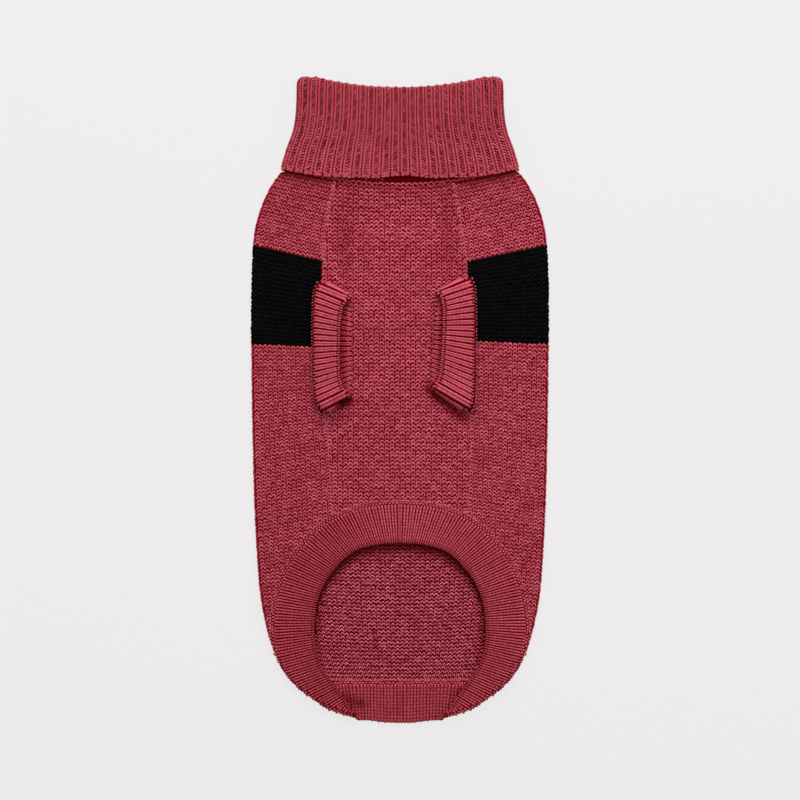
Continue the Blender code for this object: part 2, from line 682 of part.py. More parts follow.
def cuff_point(cuff, layer, down, end, out):
    """Middle of a cuff's wall, out from 0 at its root to 1 at its mouth."""
    flat_y = cuff.root_top - CUFF_ROOT_ROUND
    flat_y = flat_y + (cuff.root_bottom + CUFF_ROOT_ROUND - flat_y) * down
    bulge = np.sqrt(1 - (2 * down - 1) ** 4)
    root_y = flat_y + end * CUFF_ROOT_ROUND
    seam = seam_left if cuff.side < 0 else seam_right
    line = armhole(cuff, flat_y)
    root_x = seam(root_y) * (1 - line) + cuff.root_middle * line
    root_x = root_x - cuff.side * (CUFF_ROOT_END + (cuff.root_half - CUFF_ROOT_END) * bulge) * layer
    rest = top_height(root_x, root_y) + HALF_WALL + REST_GAP
    root_z = rest + CUFF_WALL / 2 * np.sqrt((layer + 1) / 2)

    gap = CUFF_HALF_GAP + (cuff.curl - CUFF_HALF_GAP) * smooth_step(down, CUFF_CURL_START, 1.0)
    mouth_y = cuff.mouth_top - CUFF_HALF_GAP
    mouth_y = mouth_y + (cuff.mouth_bottom + cuff.curl - mouth_y) * down + end * gap
    mouth_x = cuff.mouth_under - cuff.side * cuff.mouth_lean * (down - 0.5)
    slant = CUFF_END_SLANT + (1 - CUFF_END_SLANT) * bulge
    mouth_x = mouth_x + (cuff.mouth_upper - cuff.mouth_under) * slant * (1 - layer) / 2
    floor = top_height(mouth_x, mouth_y) + HALF_WALL + REST_GAP
    mouth_z = floor + CUFF_WALL / 2 + gap * (1 - layer)

    first = np.stack([root_x, root_y, root_z], axis=-1)
    last = np.stack([mouth_x, mouth_y, mouth_z], axis=-1)
    upright = ((1 - layer) / 2)[..., None]
    across = last - first
    up = across * (0.0, 0.0, 1.0)
    sideways = across * (1.0, 1.0, 0.0)
    second = first + up * upright * CUFF_CROWN + sideways * CUFF_LEAN * (1 - upright)
    third = last - sideways / 2
    t = out[..., None]
    return (1 - t) ** 3 * first + 3 * (1 - t) ** 2 * t * second + 3 * (1 - t) * t**2 * third + t**3 * last


def cuff(name):
    shape = CUFFS[name]
    layer, down, end = cuff_ring(CUFF_RIBS)
    count = len(layer)
    outs = np.linspace(0.0, 1.0, CUFF_ROWS)[:, None] * np.ones(count)[None, :]
    places = np.arange(count, dtype=float)

    def point(place, out):
        ring = [np.interp(place % count, np.arange(count + 1), np.append(row, row[0])) for row in (layer, down, end)]
        return cuff_point(shape, *ring, out)

    grid = np.broadcast_to(places, outs.shape)
    middle = point(grid, outs)
    ends = np.clip(outs, 0.001, 0.999)
    normals = surface_normals(point, grid, ends, 1.0, 1e-3) * -shape.side
    wave = rib_wave(np.arange(count) / 2)[None, :] * rib_share(normals[..., 2])
    wave = wave * smooth_step(outs, 0.0, CUFF_RIB_START)
    outer = middle + normals * (CUFF_WALL / 2 + CUFF_RIB * wave)[..., None]
    inner = middle - normals * CUFF_WALL / 2
    anchors = [place for place in range(0, count, 2) if end[place] == 0]
    origin = (shape.root_middle, (shape.root_top + shape.root_bottom) / 2, BODY_CENTRE)
    return tube(name, outer, inner[::-1][:, anchors], anchors, RIB_RED, origin)


for old in list(bpy.data.objects):
    bpy.data.objects.remove(old)
garment = bpy.data.objects.new("dog_sweater", None)
bpy.context.scene.collection.objects.link(garment)
back_panel()
belly_panel()
hem_band()
collar()
for cuff_name in CUFFS:
    cuff(cuff_name)
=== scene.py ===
"""Looks of the knitted dog sweater: every stitch is a bent piece of yarn on a thin cloth.

The cloth and the stitches follow the same curves as the solids they stand for. Lengths are in millimetres
inside this file, and become metres where a mesh is made.
"""

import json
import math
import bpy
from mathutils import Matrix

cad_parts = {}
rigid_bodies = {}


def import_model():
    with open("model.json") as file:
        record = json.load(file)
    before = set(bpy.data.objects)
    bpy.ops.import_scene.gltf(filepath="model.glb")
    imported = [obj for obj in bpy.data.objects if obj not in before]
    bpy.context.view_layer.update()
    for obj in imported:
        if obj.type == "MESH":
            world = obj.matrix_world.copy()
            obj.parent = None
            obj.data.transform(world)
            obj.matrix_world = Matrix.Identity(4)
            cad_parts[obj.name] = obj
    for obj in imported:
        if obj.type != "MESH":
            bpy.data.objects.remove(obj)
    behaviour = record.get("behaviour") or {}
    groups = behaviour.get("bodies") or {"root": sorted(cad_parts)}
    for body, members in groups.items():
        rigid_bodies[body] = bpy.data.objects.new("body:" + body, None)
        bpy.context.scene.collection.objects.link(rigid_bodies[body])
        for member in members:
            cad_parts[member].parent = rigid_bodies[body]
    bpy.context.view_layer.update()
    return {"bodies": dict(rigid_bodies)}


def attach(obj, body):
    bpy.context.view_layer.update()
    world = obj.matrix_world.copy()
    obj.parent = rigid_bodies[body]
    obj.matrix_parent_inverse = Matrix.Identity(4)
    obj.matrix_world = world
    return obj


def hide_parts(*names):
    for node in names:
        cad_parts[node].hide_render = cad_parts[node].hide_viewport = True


bl_info = {
    "name": "Knitted dog sweater",
    "version": (1, 0, 0),
    "blender": (4, 5, 0),
    "location": "View3D > Sidebar > Sweater",
    "description": "Knits the panels, roll neck, cuffs and rear band of a dog sweater laid flat",
    "category": "Object",
}

from typing import NamedTuple

import bmesh
import bpy
import numpy as np
from bpy.props import FloatProperty, FloatVectorProperty, IntProperty, PointerProperty
from mathutils import Vector

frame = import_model()
BODY = next(iter(frame["bodies"]))

MM = 0.001

# -------------------------------------------------------------------------------- the garment's cut
WALL = 2.0
SEAM_GAP = 0.4
REST_GAP = 0.3
FOLD_RADIUS = 1.6
HALF_WALL = WALL / 2
FOLD_LENGTH = math.pi * FOLD_RADIUS
FOLD_SLACK = (math.pi / 2 - 1) * FOLD_RADIUS

BODY_CENTRE = FOLD_RADIUS + HALF_WALL
NECK_SEAM = 138.0
NECK_SEAM_RISE = 10.5
NECK_HALF_WIDTH = 71.2
REAR_SEAM = -179.3
REAR_HALF_WIDTH = 54.4  # of the rear opening
REAR_MARGIN = 8.0  # past the rear opening's edge, to which the stitches seen through it go on
SEEN_HALF_WIDTH = 46.0  # within which the rear opening shows the band's wrong side
SEEN_HEIGHT = 2.5  # above the middle of the flattened tube, likewise
BELLY_CORNER = -74.0
LOFT = 1.1
LOFT_START = 132.0
LOFT_FULL = 96.0
TROUGH_DEPTH = 0.8
TROUGH_HALF_WIDTH = 7.0
TROUGH_X = (-34.5, 30.5)
TROUGH_ALONG = (100.0, 34.0)
ARCH_FADE = 60.0
CREASE_PAST = 0.15  # share of a crease's length by which it runs on past either end
CREASE_FULL = 0.3  # share along it, from either end, at which it has its full depth
CREASE_SIDES = (0.02, 0.12)  # shares of the half width, from a side fold, between which the creases set in
CREASE_NECK = (124.0, 136.0)  # along Y, between which they fade out

COLLAR_WALL = 2.0
COLLAR_LIFT_START = 108.0
COLLAR_GAP = 0.4
COLLAR_INNER = FOLD_RADIUS - HALF_WALL
COLLAR_OUTER = COLLAR_INNER + 2 * COLLAR_WALL + COLLAR_GAP
COLLAR_TURN = (COLLAR_OUTER - COLLAR_INNER) / 2
COLLAR_TOP = 198.1
COLLAR_TOP_RISE = 6.4
COLLAR_EDGE = 140.8
COLLAR_EDGE_RISE = 4.8
COLLAR_EDGE_LIFT = 1.6
COLLAR_EDGE_LIFT_AT = 0.03  # share of the neck's half width
COLLAR_EDGE_LIFT_REACH = 0.16
COLLAR_RISE_END = 0.9  # share of the neck's half width beyond which the fold rises no further
COLLAR_RIBS = 23  # across either face
COLLAR_END_RIBS = 3  # round either end
COLLAR_RIB = 0.6
COLLAR_JOIN = 0.03  # share of the neck's half width within which a groove is the centre join
GROOVE_LIFT = 0.45  # of the slanting yarns in the grooves, beyond STITCH_LIFT
SLIT_SHADE_LIFT = 1.05  # of the dark yarns between them, painted shade in the holes of the slits
GROOVE_TONES = (0.75, 1.6)  # the grooves' yarns differ at random between these

HEM_RIB_PITCH = 3.5  # round the sides and the belly
HEM_BACK_PITCH = 4.2
HEM_PITCH_ROWS = (6.0, 10.0)  # rows of HEM_BAND between which the one becomes the other
HEM_RIB = 0.5
HEM_TURN_SWELL = 0.25  # of the cloth, where the band turns over
HEM_TURN_SINK = 0.55  # of the ribs' yarn, likewise
HEM_KNOT_ROWS = (-0.45, 0.25, 0.95)  # of the small stitches along its seam
HEM_LONGEST = 1.08  # most that a stitch of a rib is drawn out
CUFF_RIBS = 20
CUFF_RIB = 0.5
CUFF_WALL = 1.6
CUFF_HALF_GAP = 1.7
CUFF_ROOT_ROUND = 3.5
CUFF_ROOT_END = 2.5
CUFF_LEAN = 0.3
CUFF_CROWN = 1.4
CUFF_END_SLANT = 0.15


class Girth(NamedTuple):
    along: float  # along Y
    half: float  # from the centre line to the middle of the wall at the side fold


GIRTHS = [
    Girth(150.0, 69.9),
    Girth(147.8, 70.3),
    Girth(145.4, 71.9),
    Girth(142.8, 75.4),
    Girth(139.5, 78.3),
    Girth(133.0, 82.2),
    Girth(126.8, 85.4),
    Girth(114.0, 89.9),
    Girth(98.0, 92.4),
    Girth(63.0, 93.6),
    Girth(0.0, 93.1),
    Girth(-64.0, 91.7),
    Girth(-108.0, 89.3),
    Girth(-128.0, 87.2),
    Girth(-141.0, 84.7),
    Girth(-153.0, 81.5),
    Girth(-163.0, 78.1),
    Girth(-172.0, 73.7),
    Girth(-178.5, 68.5),
    Girth(-185.0, 62.0),
]


class Seam(NamedTuple):
    along: float  # along Y
    left: float  # X of the seam on the left
    right: float  # X of the seam on the right


BELLY_SEAMS = [
    Seam(138.0, -40.7, 32.4),
    Seam(127.0, -43.4, 35.6),
    Seam(108.0, -47.4, 38.8),
    Seam(87.5, -49.0, 41.8),
    Seam(76.5, -50.2, 43.5),
    Seam(-8.5, -47.2, 44.0),
    Seam(-26.0, -45.3, 44.4),
    Seam(-45.0, -44.0, 43.8),
    Seam(-74.0, -42.6, 42.6),
]


class Cuff(NamedTuple):
    side: int  # -1 on the left, 1 on the right
    root_top: float  # along Y, the ends of the leg opening
    root_bottom: float
    root_middle: float  # X of the opening's middle line, halfway down
    root_half: float  # half the distance between the cuff's two roots, halfway down
    mouth_top: float  # along Y, the ends of the mouth
    mouth_bottom: float
    mouth_upper: float  # X of the upper layer's loose edge, halfway down
    mouth_under: float  # X of the lower layer's loose edge, halfway down
    mouth_lean: float  # how much nearer the middle line the mouth's lower end lies
    curl: float  # radius of the middle of the wall at the mouth's lower end


CUFFS = {
    "cuff_left": Cuff(-1, 75.2, -8.0, -50.6, 4.4, 64.8, 2.6, -38.0, -30.8, -0.8, 2.4),
    "cuff_right": Cuff(1, 77.6, -7.4, 43.5, 4.1, 67.8, 8.4, 26.4, 21.2, 3.0, 2.3),
}


class Collar(NamedTuple):
    along: float  # along Y
    half: float  # half the width of the neck's flat mid plane


COLLAR_WIDTHS = [
    Collar(205.0, 57.4),
    Collar(202.0, 59.5),
    Collar(198.0, 59.9),
    Collar(184.0, 60.3),
    Collar(171.0, 62.2),
    Collar(158.5, 66.6),
    Collar(146.0, 70.2),
    Collar(138.0, 71.0),
]


class Band(NamedTuple):
    """One rib of the hem band. Its fold point is where the band turns from the lower layer to the upper
    one, or would turn if it reached that far."""

    seam_x: float
    seam_y: float
    fold_x: float
    fold_y: float
    edge_x: float
    edge_y: float
    seam_over: int  # 1 on the upper layer, -1 on the lower one
    edge_over: int


# From the middle of the back, round the right side, to the middle of the belly. The left half mirrors it.
HEM_BAND = [
    Band(0.0, -179.3, 0.0, -211.0, 0.0, -205.1, -1, -1),
    Band(9.5, -179.3, 9.2, -210.5, 9.0, -204.8, -1, -1),
    Band(19.0, -179.3, 18.2, -208.5, 18.0, -203.7, -1, -1),
    Band(25.5, -179.3, 24.1, -205.2, 23.9, -203.4, -1, -1),
    Band(31.5, -179.3, 29.0, -200.9, 28.4, -199.7, -1, 1),
    Band(36.5, -179.3, 33.6, -199.8, 31.2, -196.2, -1, 1),
    Band(41.5, -179.3, 39.6, -198.0, 33.2, -192.6, -1, 1),
    Band(47.0, -179.3, 46.8, -195.2, 35.9, -188.4, -1, 1),
    Band(53.8, -179.3, 54.4, -190.0, 40.4, -182.6, -1, 1),
    Band(60.6, -178.2, 62.9, -184.0, 45.1, -176.4, -1, 1),
    Band(67.2, -174.6, 69.6, -177.2, 49.3, -170.0, -1, 1),
    Band(73.3, -168.9, 75.0, -169.9, 52.1, -163.1, -1, 1),
    Band(77.8, -162.6, 78.2, -162.8, 53.7, -157.0, -1, 1),
    Band(80.4, -153.9, 81.3, -153.9, 54.4, -150.3, 1, 1),
    Band(81.4, -143.3, 84.2, -143.3, 54.4, -142.7, 1, 1),
    Band(80.1, -131.3, 86.6, -130.3, 53.8, -134.5, 1, 1),
    Band(77.2, -119.2, 88.6, -116.4, 51.8, -125.5, 1, 1),
    Band(72.5, -106.5, 89.0, -99.3, 48.3, -117.0, 1, 1),
    Band(64.8, -94.4, 80.9, -84.2, 42.6, -108.4, 1, 1),
    Band(54.7, -83.0, 67.8, -70.3, 35.9, -101.1, 1, 1),
    Band(42.8, -74.4, 53.4, -59.8, 28.0, -95.4, 1, 1),
    Band(29.5, -68.6, 36.6, -52.3, 19.1, -92.5, 1, 1),
    Band(15.0, -65.7, 18.9, -48.8, 9.5, -91.0, 1, 1),
    Band(0.0, -64.8, 0.0, -46.8, 0.0, -90.6, 1, 1),
]

# ----------------------------------------------------------------------------------------- the knit
WALE = 3.3  # width of one stitch that the stitch forms are drawn at
COURSE = 2.4  # height of one stitch, likewise, and in the belly panel
BACK_COURSE = 2.33
BACK_WALES = 28.5  # from the middle of the back to either side fold
SIDE_WALES = {-1: 15.5, 1: 16.5}  # from a side fold to the belly seam
TURN_WALES = 1.5  # either side of a side fold, where the knit turns up
BACK_COLUMNS = (0, 20, 36, 78, 94, 114)  # of the back's cloth, at its ends and at the ends of both turns
STRIPE_ROWS = (23, 45)  # rows from the neck at which the black yarn starts and ends
RUMP_ROW = 88  # row from the neck at which the back's stitches go on as another piece
RED_PAST = 0.4  # how far past the back panel's ends the middle of a stitch may lie
BLACK_PAST = 1.8
BELLY_WALES = (-17, 16)  # from the middle, further than either seam
BELLY_ROWS = 90
BELLY_COLUMNS = 48  # of the belly's cloth
SEAM_WALE = 2.7  # width of a stitch in the seams beside the belly
HEM_PITCH = (3.6, 2.1)  # width and height of a cell in which a rib's stitch keeps its size
COLLAR_PITCH = (5.2, 1.8)
CUFF_PITCH = (3.9, 2.0)
CLOTH_HALF = 0.4  # half the thickness of the cloth under the stitches
STITCH_LIFT = 0.42  # from the middle of the wall to the middle of the yarn
STITCH_TILT = (0.5, 0.6, 0.9)  # most that a stitch is turned about its own axes, for an unevenness of 1
STITCH_SWELL = 0.5  # most that it is larger or smaller, likewise
STITCH_STRAY = (0.9 * MM, 0.9 * MM)  # most that it is out of place, likewise
YARN_SIDES = 4
BACK_TONE = 0.94  # how light whole pieces of stitches are
BELLY_TONE = 0.97
INSIDE_TONE = 1.12
HEM_INSIDE_TONE = 0.73
JOIN_TONE = 0.65  # of the groove that is the neck's centre join
SLOPE_STEP = 0.3  # columns or rows to either side of a stitch over which the surface's slope is taken
NECK_LAP = 1.4  # of the panels under the foot of the neck tube
FOOT_START = 1.2  # from the neck seam to the first row of the neck tube's foot
FOOT_COURSE = 2.2
STRIPE_END = 88.0  # along Y, where the stripe's upper end meets the belly seams
LOWEST_YARN = 0.75  # from the table to the middle of the yarn that lies on it
TABLE_REACH = 3.0  # metres, to every side
TABLE_DROP = 0.0003  # metres, from the underside of the sweater
PATCH_CENTRE = (-1.0, -151.7)
PATCH_RADIUS = 15.5
PATCH_DASHES = 24
PATCH_THREAD = 0.9  # reach of the shade round the ring of stitches


class Shadow(NamedTuple):
    """A soft shadow beside an edge, or round a line."""

    strength: float  # 1 is black
    reach: float

    def at(self, distance):
        return self.strength * bell(distance, self.reach)


COLLAR_SHADOWS = (Shadow(0.4, 5.0), Shadow(0.2, 14.0))
TROUGH_SHADOW = Shadow(0.27, 5.0)
ARCH_SHADOW = Shadow(0.66, 5.5)
REAR_SIDE_SHADOW = Shadow(0.4, 4.5)
HOLLOWS = (  # start, end and shadow: beside the cuffs' rolled lower ends and in the band's tucks
    ((-39.6, -2.0), (-32.4, -0.4), Shadow(0.88, 2.8)),
    ((18.8, 6.2), (39.4, -11.4), Shadow(0.65, 2.8)),
    ((-37.2, -189.8), (-24.5, -193.0), Shadow(0.5, 3.2)),
    ((37.5, -187.0), (41.5, -189.0), Shadow(0.5, 3.0)),
)


class Slant(NamedTuple):
    """How a row of knitting that crosses the middle of the back at a place along Y lies at the sides."""

    along: float
    fold_left: float  # how much higher it lies at the left fold
    fold_right: float
    tilt_left: float  # how much it climbs from there towards the belly seam, over the whole half width
    tilt_right: float


SLANTS = [
    Slant(160.0, 10.5, 10.5, -17.0, -17.0),
    Slant(138.0, 10.5, 10.5, -17.0, -17.0),
    Slant(115.0, 12.5, 12.5, -21.0, -20.0),
    Slant(84.0, 14.0, 14.0, -21.5, -19.5),
    Slant(60.0, 8.0, 8.0, -13.0, -7.0),
    Slant(33.0, 2.2, 2.2, -4.0, 4.0),
    Slant(0.0, 1.0, 1.0, 8.0, 9.0),
    Slant(-45.0, 2.0, 2.0, 13.5, 12.0),
    Slant(-100.0, 5.0, 5.0, 13.5, 12.0),
    Slant(-150.0, 5.0, 5.0, 10.0, 10.0),
    Slant(-179.3, 0.0, 0.0, 8.0, 8.0),
    Slant(-200.0, 0.0, 0.0, 8.0, 8.0),
]


def smooth_step(value, low, high):
    share = np.clip((np.asarray(value, float) - low) / (high - low), 0.0, 1.0)
    return share * share * (3.0 - 2.0 * share)


def bell(value, reach):
    """1 at 0, falling softly to nothing on either side."""
    return np.exp(-((value / reach) ** 2))


def beside_line(x, y, start, end, past=0.0):
    """The share along a line, or a little past its ends, that is nearest to x, y, and how far away it is."""
    run = np.subtract(end, start)
    share = np.clip(((x - start[0]) * run[0] + (y - start[1]) * run[1]) / (run @ run), -past, 1.0 + past)
    return share, np.hypot(x - start[0] - run[0] * share, y - start[1] - run[1] * share)


def smooth_rows(rows, at):
    """The rows' numbers at any places, on a smooth curve through them at places 0, 1, 2 ..."""
    rows = np.asarray(rows, float)
    at = np.clip(np.asarray(at, float), 0.0, len(rows) - 1.0)
    low = np.minimum(at.astype(int), len(rows) - 2)
    t = (at - low)[..., None]
    before, start = rows[np.maximum(low - 1, 0)], rows[low]
    end, after = rows[low + 1], rows[np.minimum(low + 2, len(rows) - 1)]
    leave, arrive = (end - before) / 2, (after - start) / 2
    bend = 3 * (end - start) - 2 * leave - arrive
    twist = 2 * (start - end) + leave + arrive
    return start + t * (leave + t * (bend + t * twist))


def table_curve(rows, column, steps=12):
    """A function of Y that follows one column of a table smoothly."""
    table = smooth_rows(rows, np.arange((len(rows) - 1) * steps + 1) / steps)
    order = np.argsort(table[:, 0])
    along, values = table[order, 0], table[order, column]
    return lambda y: np.interp(y, along, values)


half_girth = table_curve(GIRTHS, 1)
seam_left = table_curve(BELLY_SEAMS, 1)
seam_right = table_curve(BELLY_SEAMS, 2)
collar_half = table_curve(COLLAR_WIDTHS, 1)
fold_slant = {-1: table_curve(SLANTS, 1), 1: table_curve(SLANTS, 2)}
seam_tilt = {-1: table_curve(SLANTS, 3), 1: table_curve(SLANTS, 4)}


def seam_x(side, y):
    return np.where(side < 0, seam_left(y), seam_right(y))


def neck_share(y):
    return smooth_step(y, COLLAR_LIFT_START, NECK_SEAM)


def centre_height(y):
    """Height of the flattened tube's centre. It rises at the neck, where the folded collar holds it up."""
    return BODY_CENTRE + (COLLAR_OUTER - BODY_CENTRE) * neck_share(y)


class Crease(NamedTuple):
    """A soft trough, or a ridge where its depth is below 0, between two points seen from above."""

    start: tuple
    end: tuple
    depth: float
    half_width: float


CREASES = [
    Crease((-62.0, 118.0), (-74.0, 92.0), 0.35, 7.0),
    Crease((-28.0, 128.0), (-34.0, 70.0), 0.45, 6.0),
    Crease((58.0, 120.0), (72.0, 88.0), 0.35, 8.0),
    Crease((-6.0, 60.0), (6.0, 10.0), -0.35, 16.0),
    Crease((-40.0, -18.0), (-36.0, -60.0), 0.45, 5.0),
    Crease((36.0, -14.0), (30.0, -58.0), 0.4, 5.5),
    Crease((-70.0, -20.0), (-64.0, -75.0), -0.4, 10.0),
    Crease((68.0, -15.0), (66.0, -80.0), -0.4, 10.0),
    Crease((-82.0, 10.0), (-80.0, -60.0), 0.3, 7.0),
    Crease((80.0, 5.0), (79.0, -70.0), 0.3, 7.0),
    Crease((14.0, -38.0), (-16.0, -52.0), 0.35, 7.0),
    Crease((0.0, 112.0), (8.0, 84.0), 0.3, 10.0),
]


def crease_lift(x, y):
    """Height of the soft creases, which fade out towards the side folds and the neck."""
    lift = 0.0
    for crease in CREASES:
        share, away = beside_line(x, y, crease.start, crease.end, CREASE_PAST)
        ends = smooth_step(share, -CREASE_PAST, CREASE_FULL)
        ends = ends * smooth_step(1.0 - share, -CREASE_PAST, CREASE_FULL)
        lift = lift - crease.depth * ends * bell(away, crease.half_width)
    inside = smooth_step(1.0 - np.abs(x) / half_girth(y), *CREASE_SIDES)
    return lift * inside * (1.0 - smooth_step(y, *CREASE_NECK))


def trough_reach(y):
    """1 halfway along the belly panel's troughs, 0 past their ends."""
    middle, half_length = TROUGH_ALONG
    return np.clip(1.0 - ((np.asarray(y) - middle) / half_length) ** 2, 0.0, 1.0)


def loft(x, y):
    """How far the top layer stands up beyond its lowest lie."""
    crown = np.clip(1.0 - (np.asarray(x) / half_girth(y)) ** 2, 0.0, 1.0)
    puff = LOFT * crown * (1.0 - smooth_step(y, LOFT_FULL, LOFT_START))
    for trough in TROUGH_X:
        puff = puff - TROUGH_DEPTH * trough_reach(y) * bell(x - trough, TROUGH_HALF_WIDTH)
    return puff + crease_lift(x, y)


def top_height(x, y):
    """Height of the middle of the wall on the top layer, away from the side folds."""
    return centre_height(y) + FOLD_RADIUS + loft(x, y)


def fold_reach(y):
    """Width of the side fold along X. A slanting outline cuts the round fold at a slant."""
    slope = half_girth(y + 0.5) - half_girth(y - 0.5)
    return FOLD_RADIUS * np.sqrt(1.0 + slope**2)


def body_point(around, y):
    """Middle of the wall of the body tube, at a distance round it from the middle of the back."""
    side, around = np.where(around < 0, -1.0, 1.0), np.abs(around)
    reach = fold_reach(y)
    flat = half_girth(y) - reach
    turn = np.clip((around - flat) / FOLD_LENGTH, 0.0, 1.0) * math.pi
    past = np.maximum(around - flat - FOLD_LENGTH, 0.0)
    x = side * (np.minimum(around, flat) + reach * np.sin(turn) - past)
    z = centre_height(y) - FOLD_RADIUS * np.cos(turn) + np.where(turn > math.pi / 2, loft(x, y), 0.0)
    return np.stack([x, y + 0.0 * x, z], axis=-1)


def neck_rise(x):
    return NECK_SEAM_RISE * np.minimum(np.abs(x) / NECK_HALF_WIDTH, 1.0) ** 2


def armhole(cuff, y):
    """0 beyond the ends of a leg opening, rising to 1 halfway down."""
    middle = (cuff.root_top + cuff.root_bottom) / 2
    half_length = (cuff.root_top - cuff.root_bottom) / 2
    return np.sqrt(np.clip(1.0 - ((y - middle) / half_length) ** 4, 0.0, 1.0))


def belly_edge(side, y, outwards):
    """X of a belly seam. Beside a leg opening it parts into the back panel's edge, outwards 1, and the belly
    panel's, outwards -1."""
    cuff = next(c for c in CUFFS.values() if c.side == side)
    share = armhole(cuff, y)
    open_half = cuff.root_half - HALF_WALL - REST_GAP
    edge = cuff.root_middle + side * outwards * open_half
    return seam_x(side, y) * (1 - share) + edge * share + side * outwards * SEAM_GAP / 2 * (1 - share)


# ----------------------------------------------------------------------------- surfaces of the knit
def unit(vectors):
    return vectors / np.maximum(np.linalg.norm(vectors, axis=-1, keepdims=True), 1e-9)


class Cells(NamedTuple):
    """Where stitches go, one row of each array for each stitch."""

    place: np.ndarray  # middle of the stitch
    facing: np.ndarray  # away from the cloth
    wale: np.ndarray  # the way the stitch's columns run
    size: np.ndarray  # against the size that the stitch forms are drawn at
    shade: np.ndarray  # 1, or less where the stitch lies in a crease or under an edge

    def where(self, keep):
        return Cells(*(values[keep] for values in self))

    def shaded(self, shade_at):
        """The same stitches, darker by a share that shade_at(x, y) gives."""
        x, y, _ = self.place.T
        return self._replace(shade=self.shade * shade_at(x, y)[:, None])


def cells_on(point, u, v, lift, outwards=1.0, turned=False, pitch=(WALE, COURSE), shade=1.0):
    """Cells on a surface whose point(u, v) counts u in columns and v in rows. Turned cells run along u."""
    u, v = np.broadcast_arrays(np.asarray(u, float), v)
    lift = np.broadcast_to(lift, u.shape)[..., None]

    def facing_at(a, b):
        return -outwards * surface_normals(point, a, b, SLOPE_STEP, SLOPE_STEP)

    def lifted(a, b):
        return point(a, b) + facing_at(a, b) * lift

    across = lifted(u + 0.5, v) - lifted(u - 0.5, v)
    along = lifted(u, v - 0.5) - lifted(u, v + 0.5)
    width = np.linalg.norm(across, axis=-1) / pitch[0]
    height = np.linalg.norm(along, axis=-1) / pitch[1]
    wale = unit(along)
    if turned:
        width, height, wale = height, width, unit(across)
    size = np.stack([width, height, np.ones_like(width)], axis=-1)
    place = lifted(u, v)
    place[..., 2] = np.maximum(place[..., 2], LOWEST_YARN)
    flat = (place, facing_at(u, v), wale, size, np.broadcast_to(shade, u.shape)[..., None])
    return Cells(*(values.reshape(-1, values.shape[-1]) for values in flat))


def joined(parts):
    return Cells(*(np.concatenate(values) for values in zip(*parts)))


def surface_normals(point, a, b, step_a, step_b):
    """Unit normals of the surface point(a, b), by its slopes along a and b."""
    slope_a = point(a + step_a, b) - point(a - step_a, b)
    slope_b = point(a, b + step_b) - point(a, b - step_b)
    return unit(np.cross(slope_a, slope_b))


def row_slant(x, row_y, over):
    """How far a row of knitting is raised at x, on the upper layer where over is true."""
    share = np.minimum(np.abs(x) / half_girth(row_y), 1.0)
    fold = np.where(x < 0, fold_slant[-1](row_y), fold_slant[1](row_y))
    tilt = np.where(x < 0, seam_tilt[-1](row_y), seam_tilt[1](row_y))
    return np.where(over, fold + tilt * (1.0 - share), fold * share**2)


def body_round(u, v):
    """Distance round the body tube and Y of wale u of the back panel, in row v down from the neck."""
    side, wale = np.where(u < 0, -1.0, 1.0), np.abs(u)
    row_y = NECK_SEAM - v * BACK_COURSE
    over = wale > BACK_WALES
    past = (wale - BACK_WALES) / np.where(side < 0, SIDE_WALES[-1], SIDE_WALES[1])
    y = row_y
    for _ in range(4):  # each of the two depends on the other
        flat = half_girth(y) - fold_reach(y)
        fold = flat + FOLD_LENGTH / 2
        seam = 2 * flat + FOLD_LENGTH - np.abs(seam_x(side, y))
        around = np.where(over, fold + past * (seam - fold), wale / BACK_WALES * fold)
        y = row_y + row_slant(body_point(side * around, y)[..., 0], row_y, over)
    return side * around, y


def back_knit(u, v):
    return body_point(*body_round(u, v))


def belly_knit(u, v):
    """Wale u from the middle of the belly, in row v down from the neck."""
    x = u * WALE
    row_y = NECK_SEAM - v * COURSE
    y = row_y + neck_rise(x) * neck_share(row_y)
    return np.stack([x, y, top_height(x, y)], axis=-1)


# -------------------------------------------------------------------------------------- hem surface
def band_rows():
    """The band's ribs as numbers: seam, fold and edge points, then the signed lengths from the fold to the
    other two."""
    rows = np.array(HEM_BAND, float)
    seam, fold, edge = rows[:, 0:2], rows[:, 2:4], rows[:, 4:6]
    to_seam = rows[:, 6] * (np.linalg.norm(seam - fold, axis=1) + FOLD_SLACK)
    to_edge = rows[:, 7] * (np.linalg.norm(edge - fold, axis=1) + FOLD_SLACK)
    return np.column_stack([seam, fold, edge, to_seam, to_edge])


BAND_ROWS = band_rows()
BAND_LAST = len(HEM_BAND) - 1.0


def hem_point(place, across):
    """Middle of the band's wall. place counts the table's rows, below 0 on the left half, and across goes
    from 0 at the seam to 1 at the loose edge."""
    side = np.where(place < 0, -1.0, 1.0)
    rows = smooth_rows(BAND_ROWS, np.abs(place))
    seam, fold, edge = rows[..., 0:2], rows[..., 2:4], rows[..., 4:6]
    to_seam, to_edge = rows[..., 6], rows[..., 7]
    run = to_seam + (to_edge - to_seam) * across
    turn = np.clip(run / FOLD_RADIUS, -math.pi / 2, math.pi / 2)
    inwards = FOLD_RADIUS * (1 - np.cos(turn)) + np.maximum(np.abs(run) - FOLD_LENGTH / 2, 0.0)
    over, under = edge - fold, seam - fold
    over = np.where((to_edge > FOLD_SLACK)[..., None], over, -under)
    under = np.where((to_seam < -FOLD_SLACK)[..., None], under, -over)
    way = unit(np.where((run >= 0)[..., None], over, under))
    flat = fold + way * inwards[..., None]
    x, y = side * flat[..., 0], flat[..., 1]
    z = centre_height(y) + FOLD_RADIUS * np.sin(turn) + np.where(run > 0, loft(x, y), 0.0)
    return np.stack([x, y, z], axis=-1)


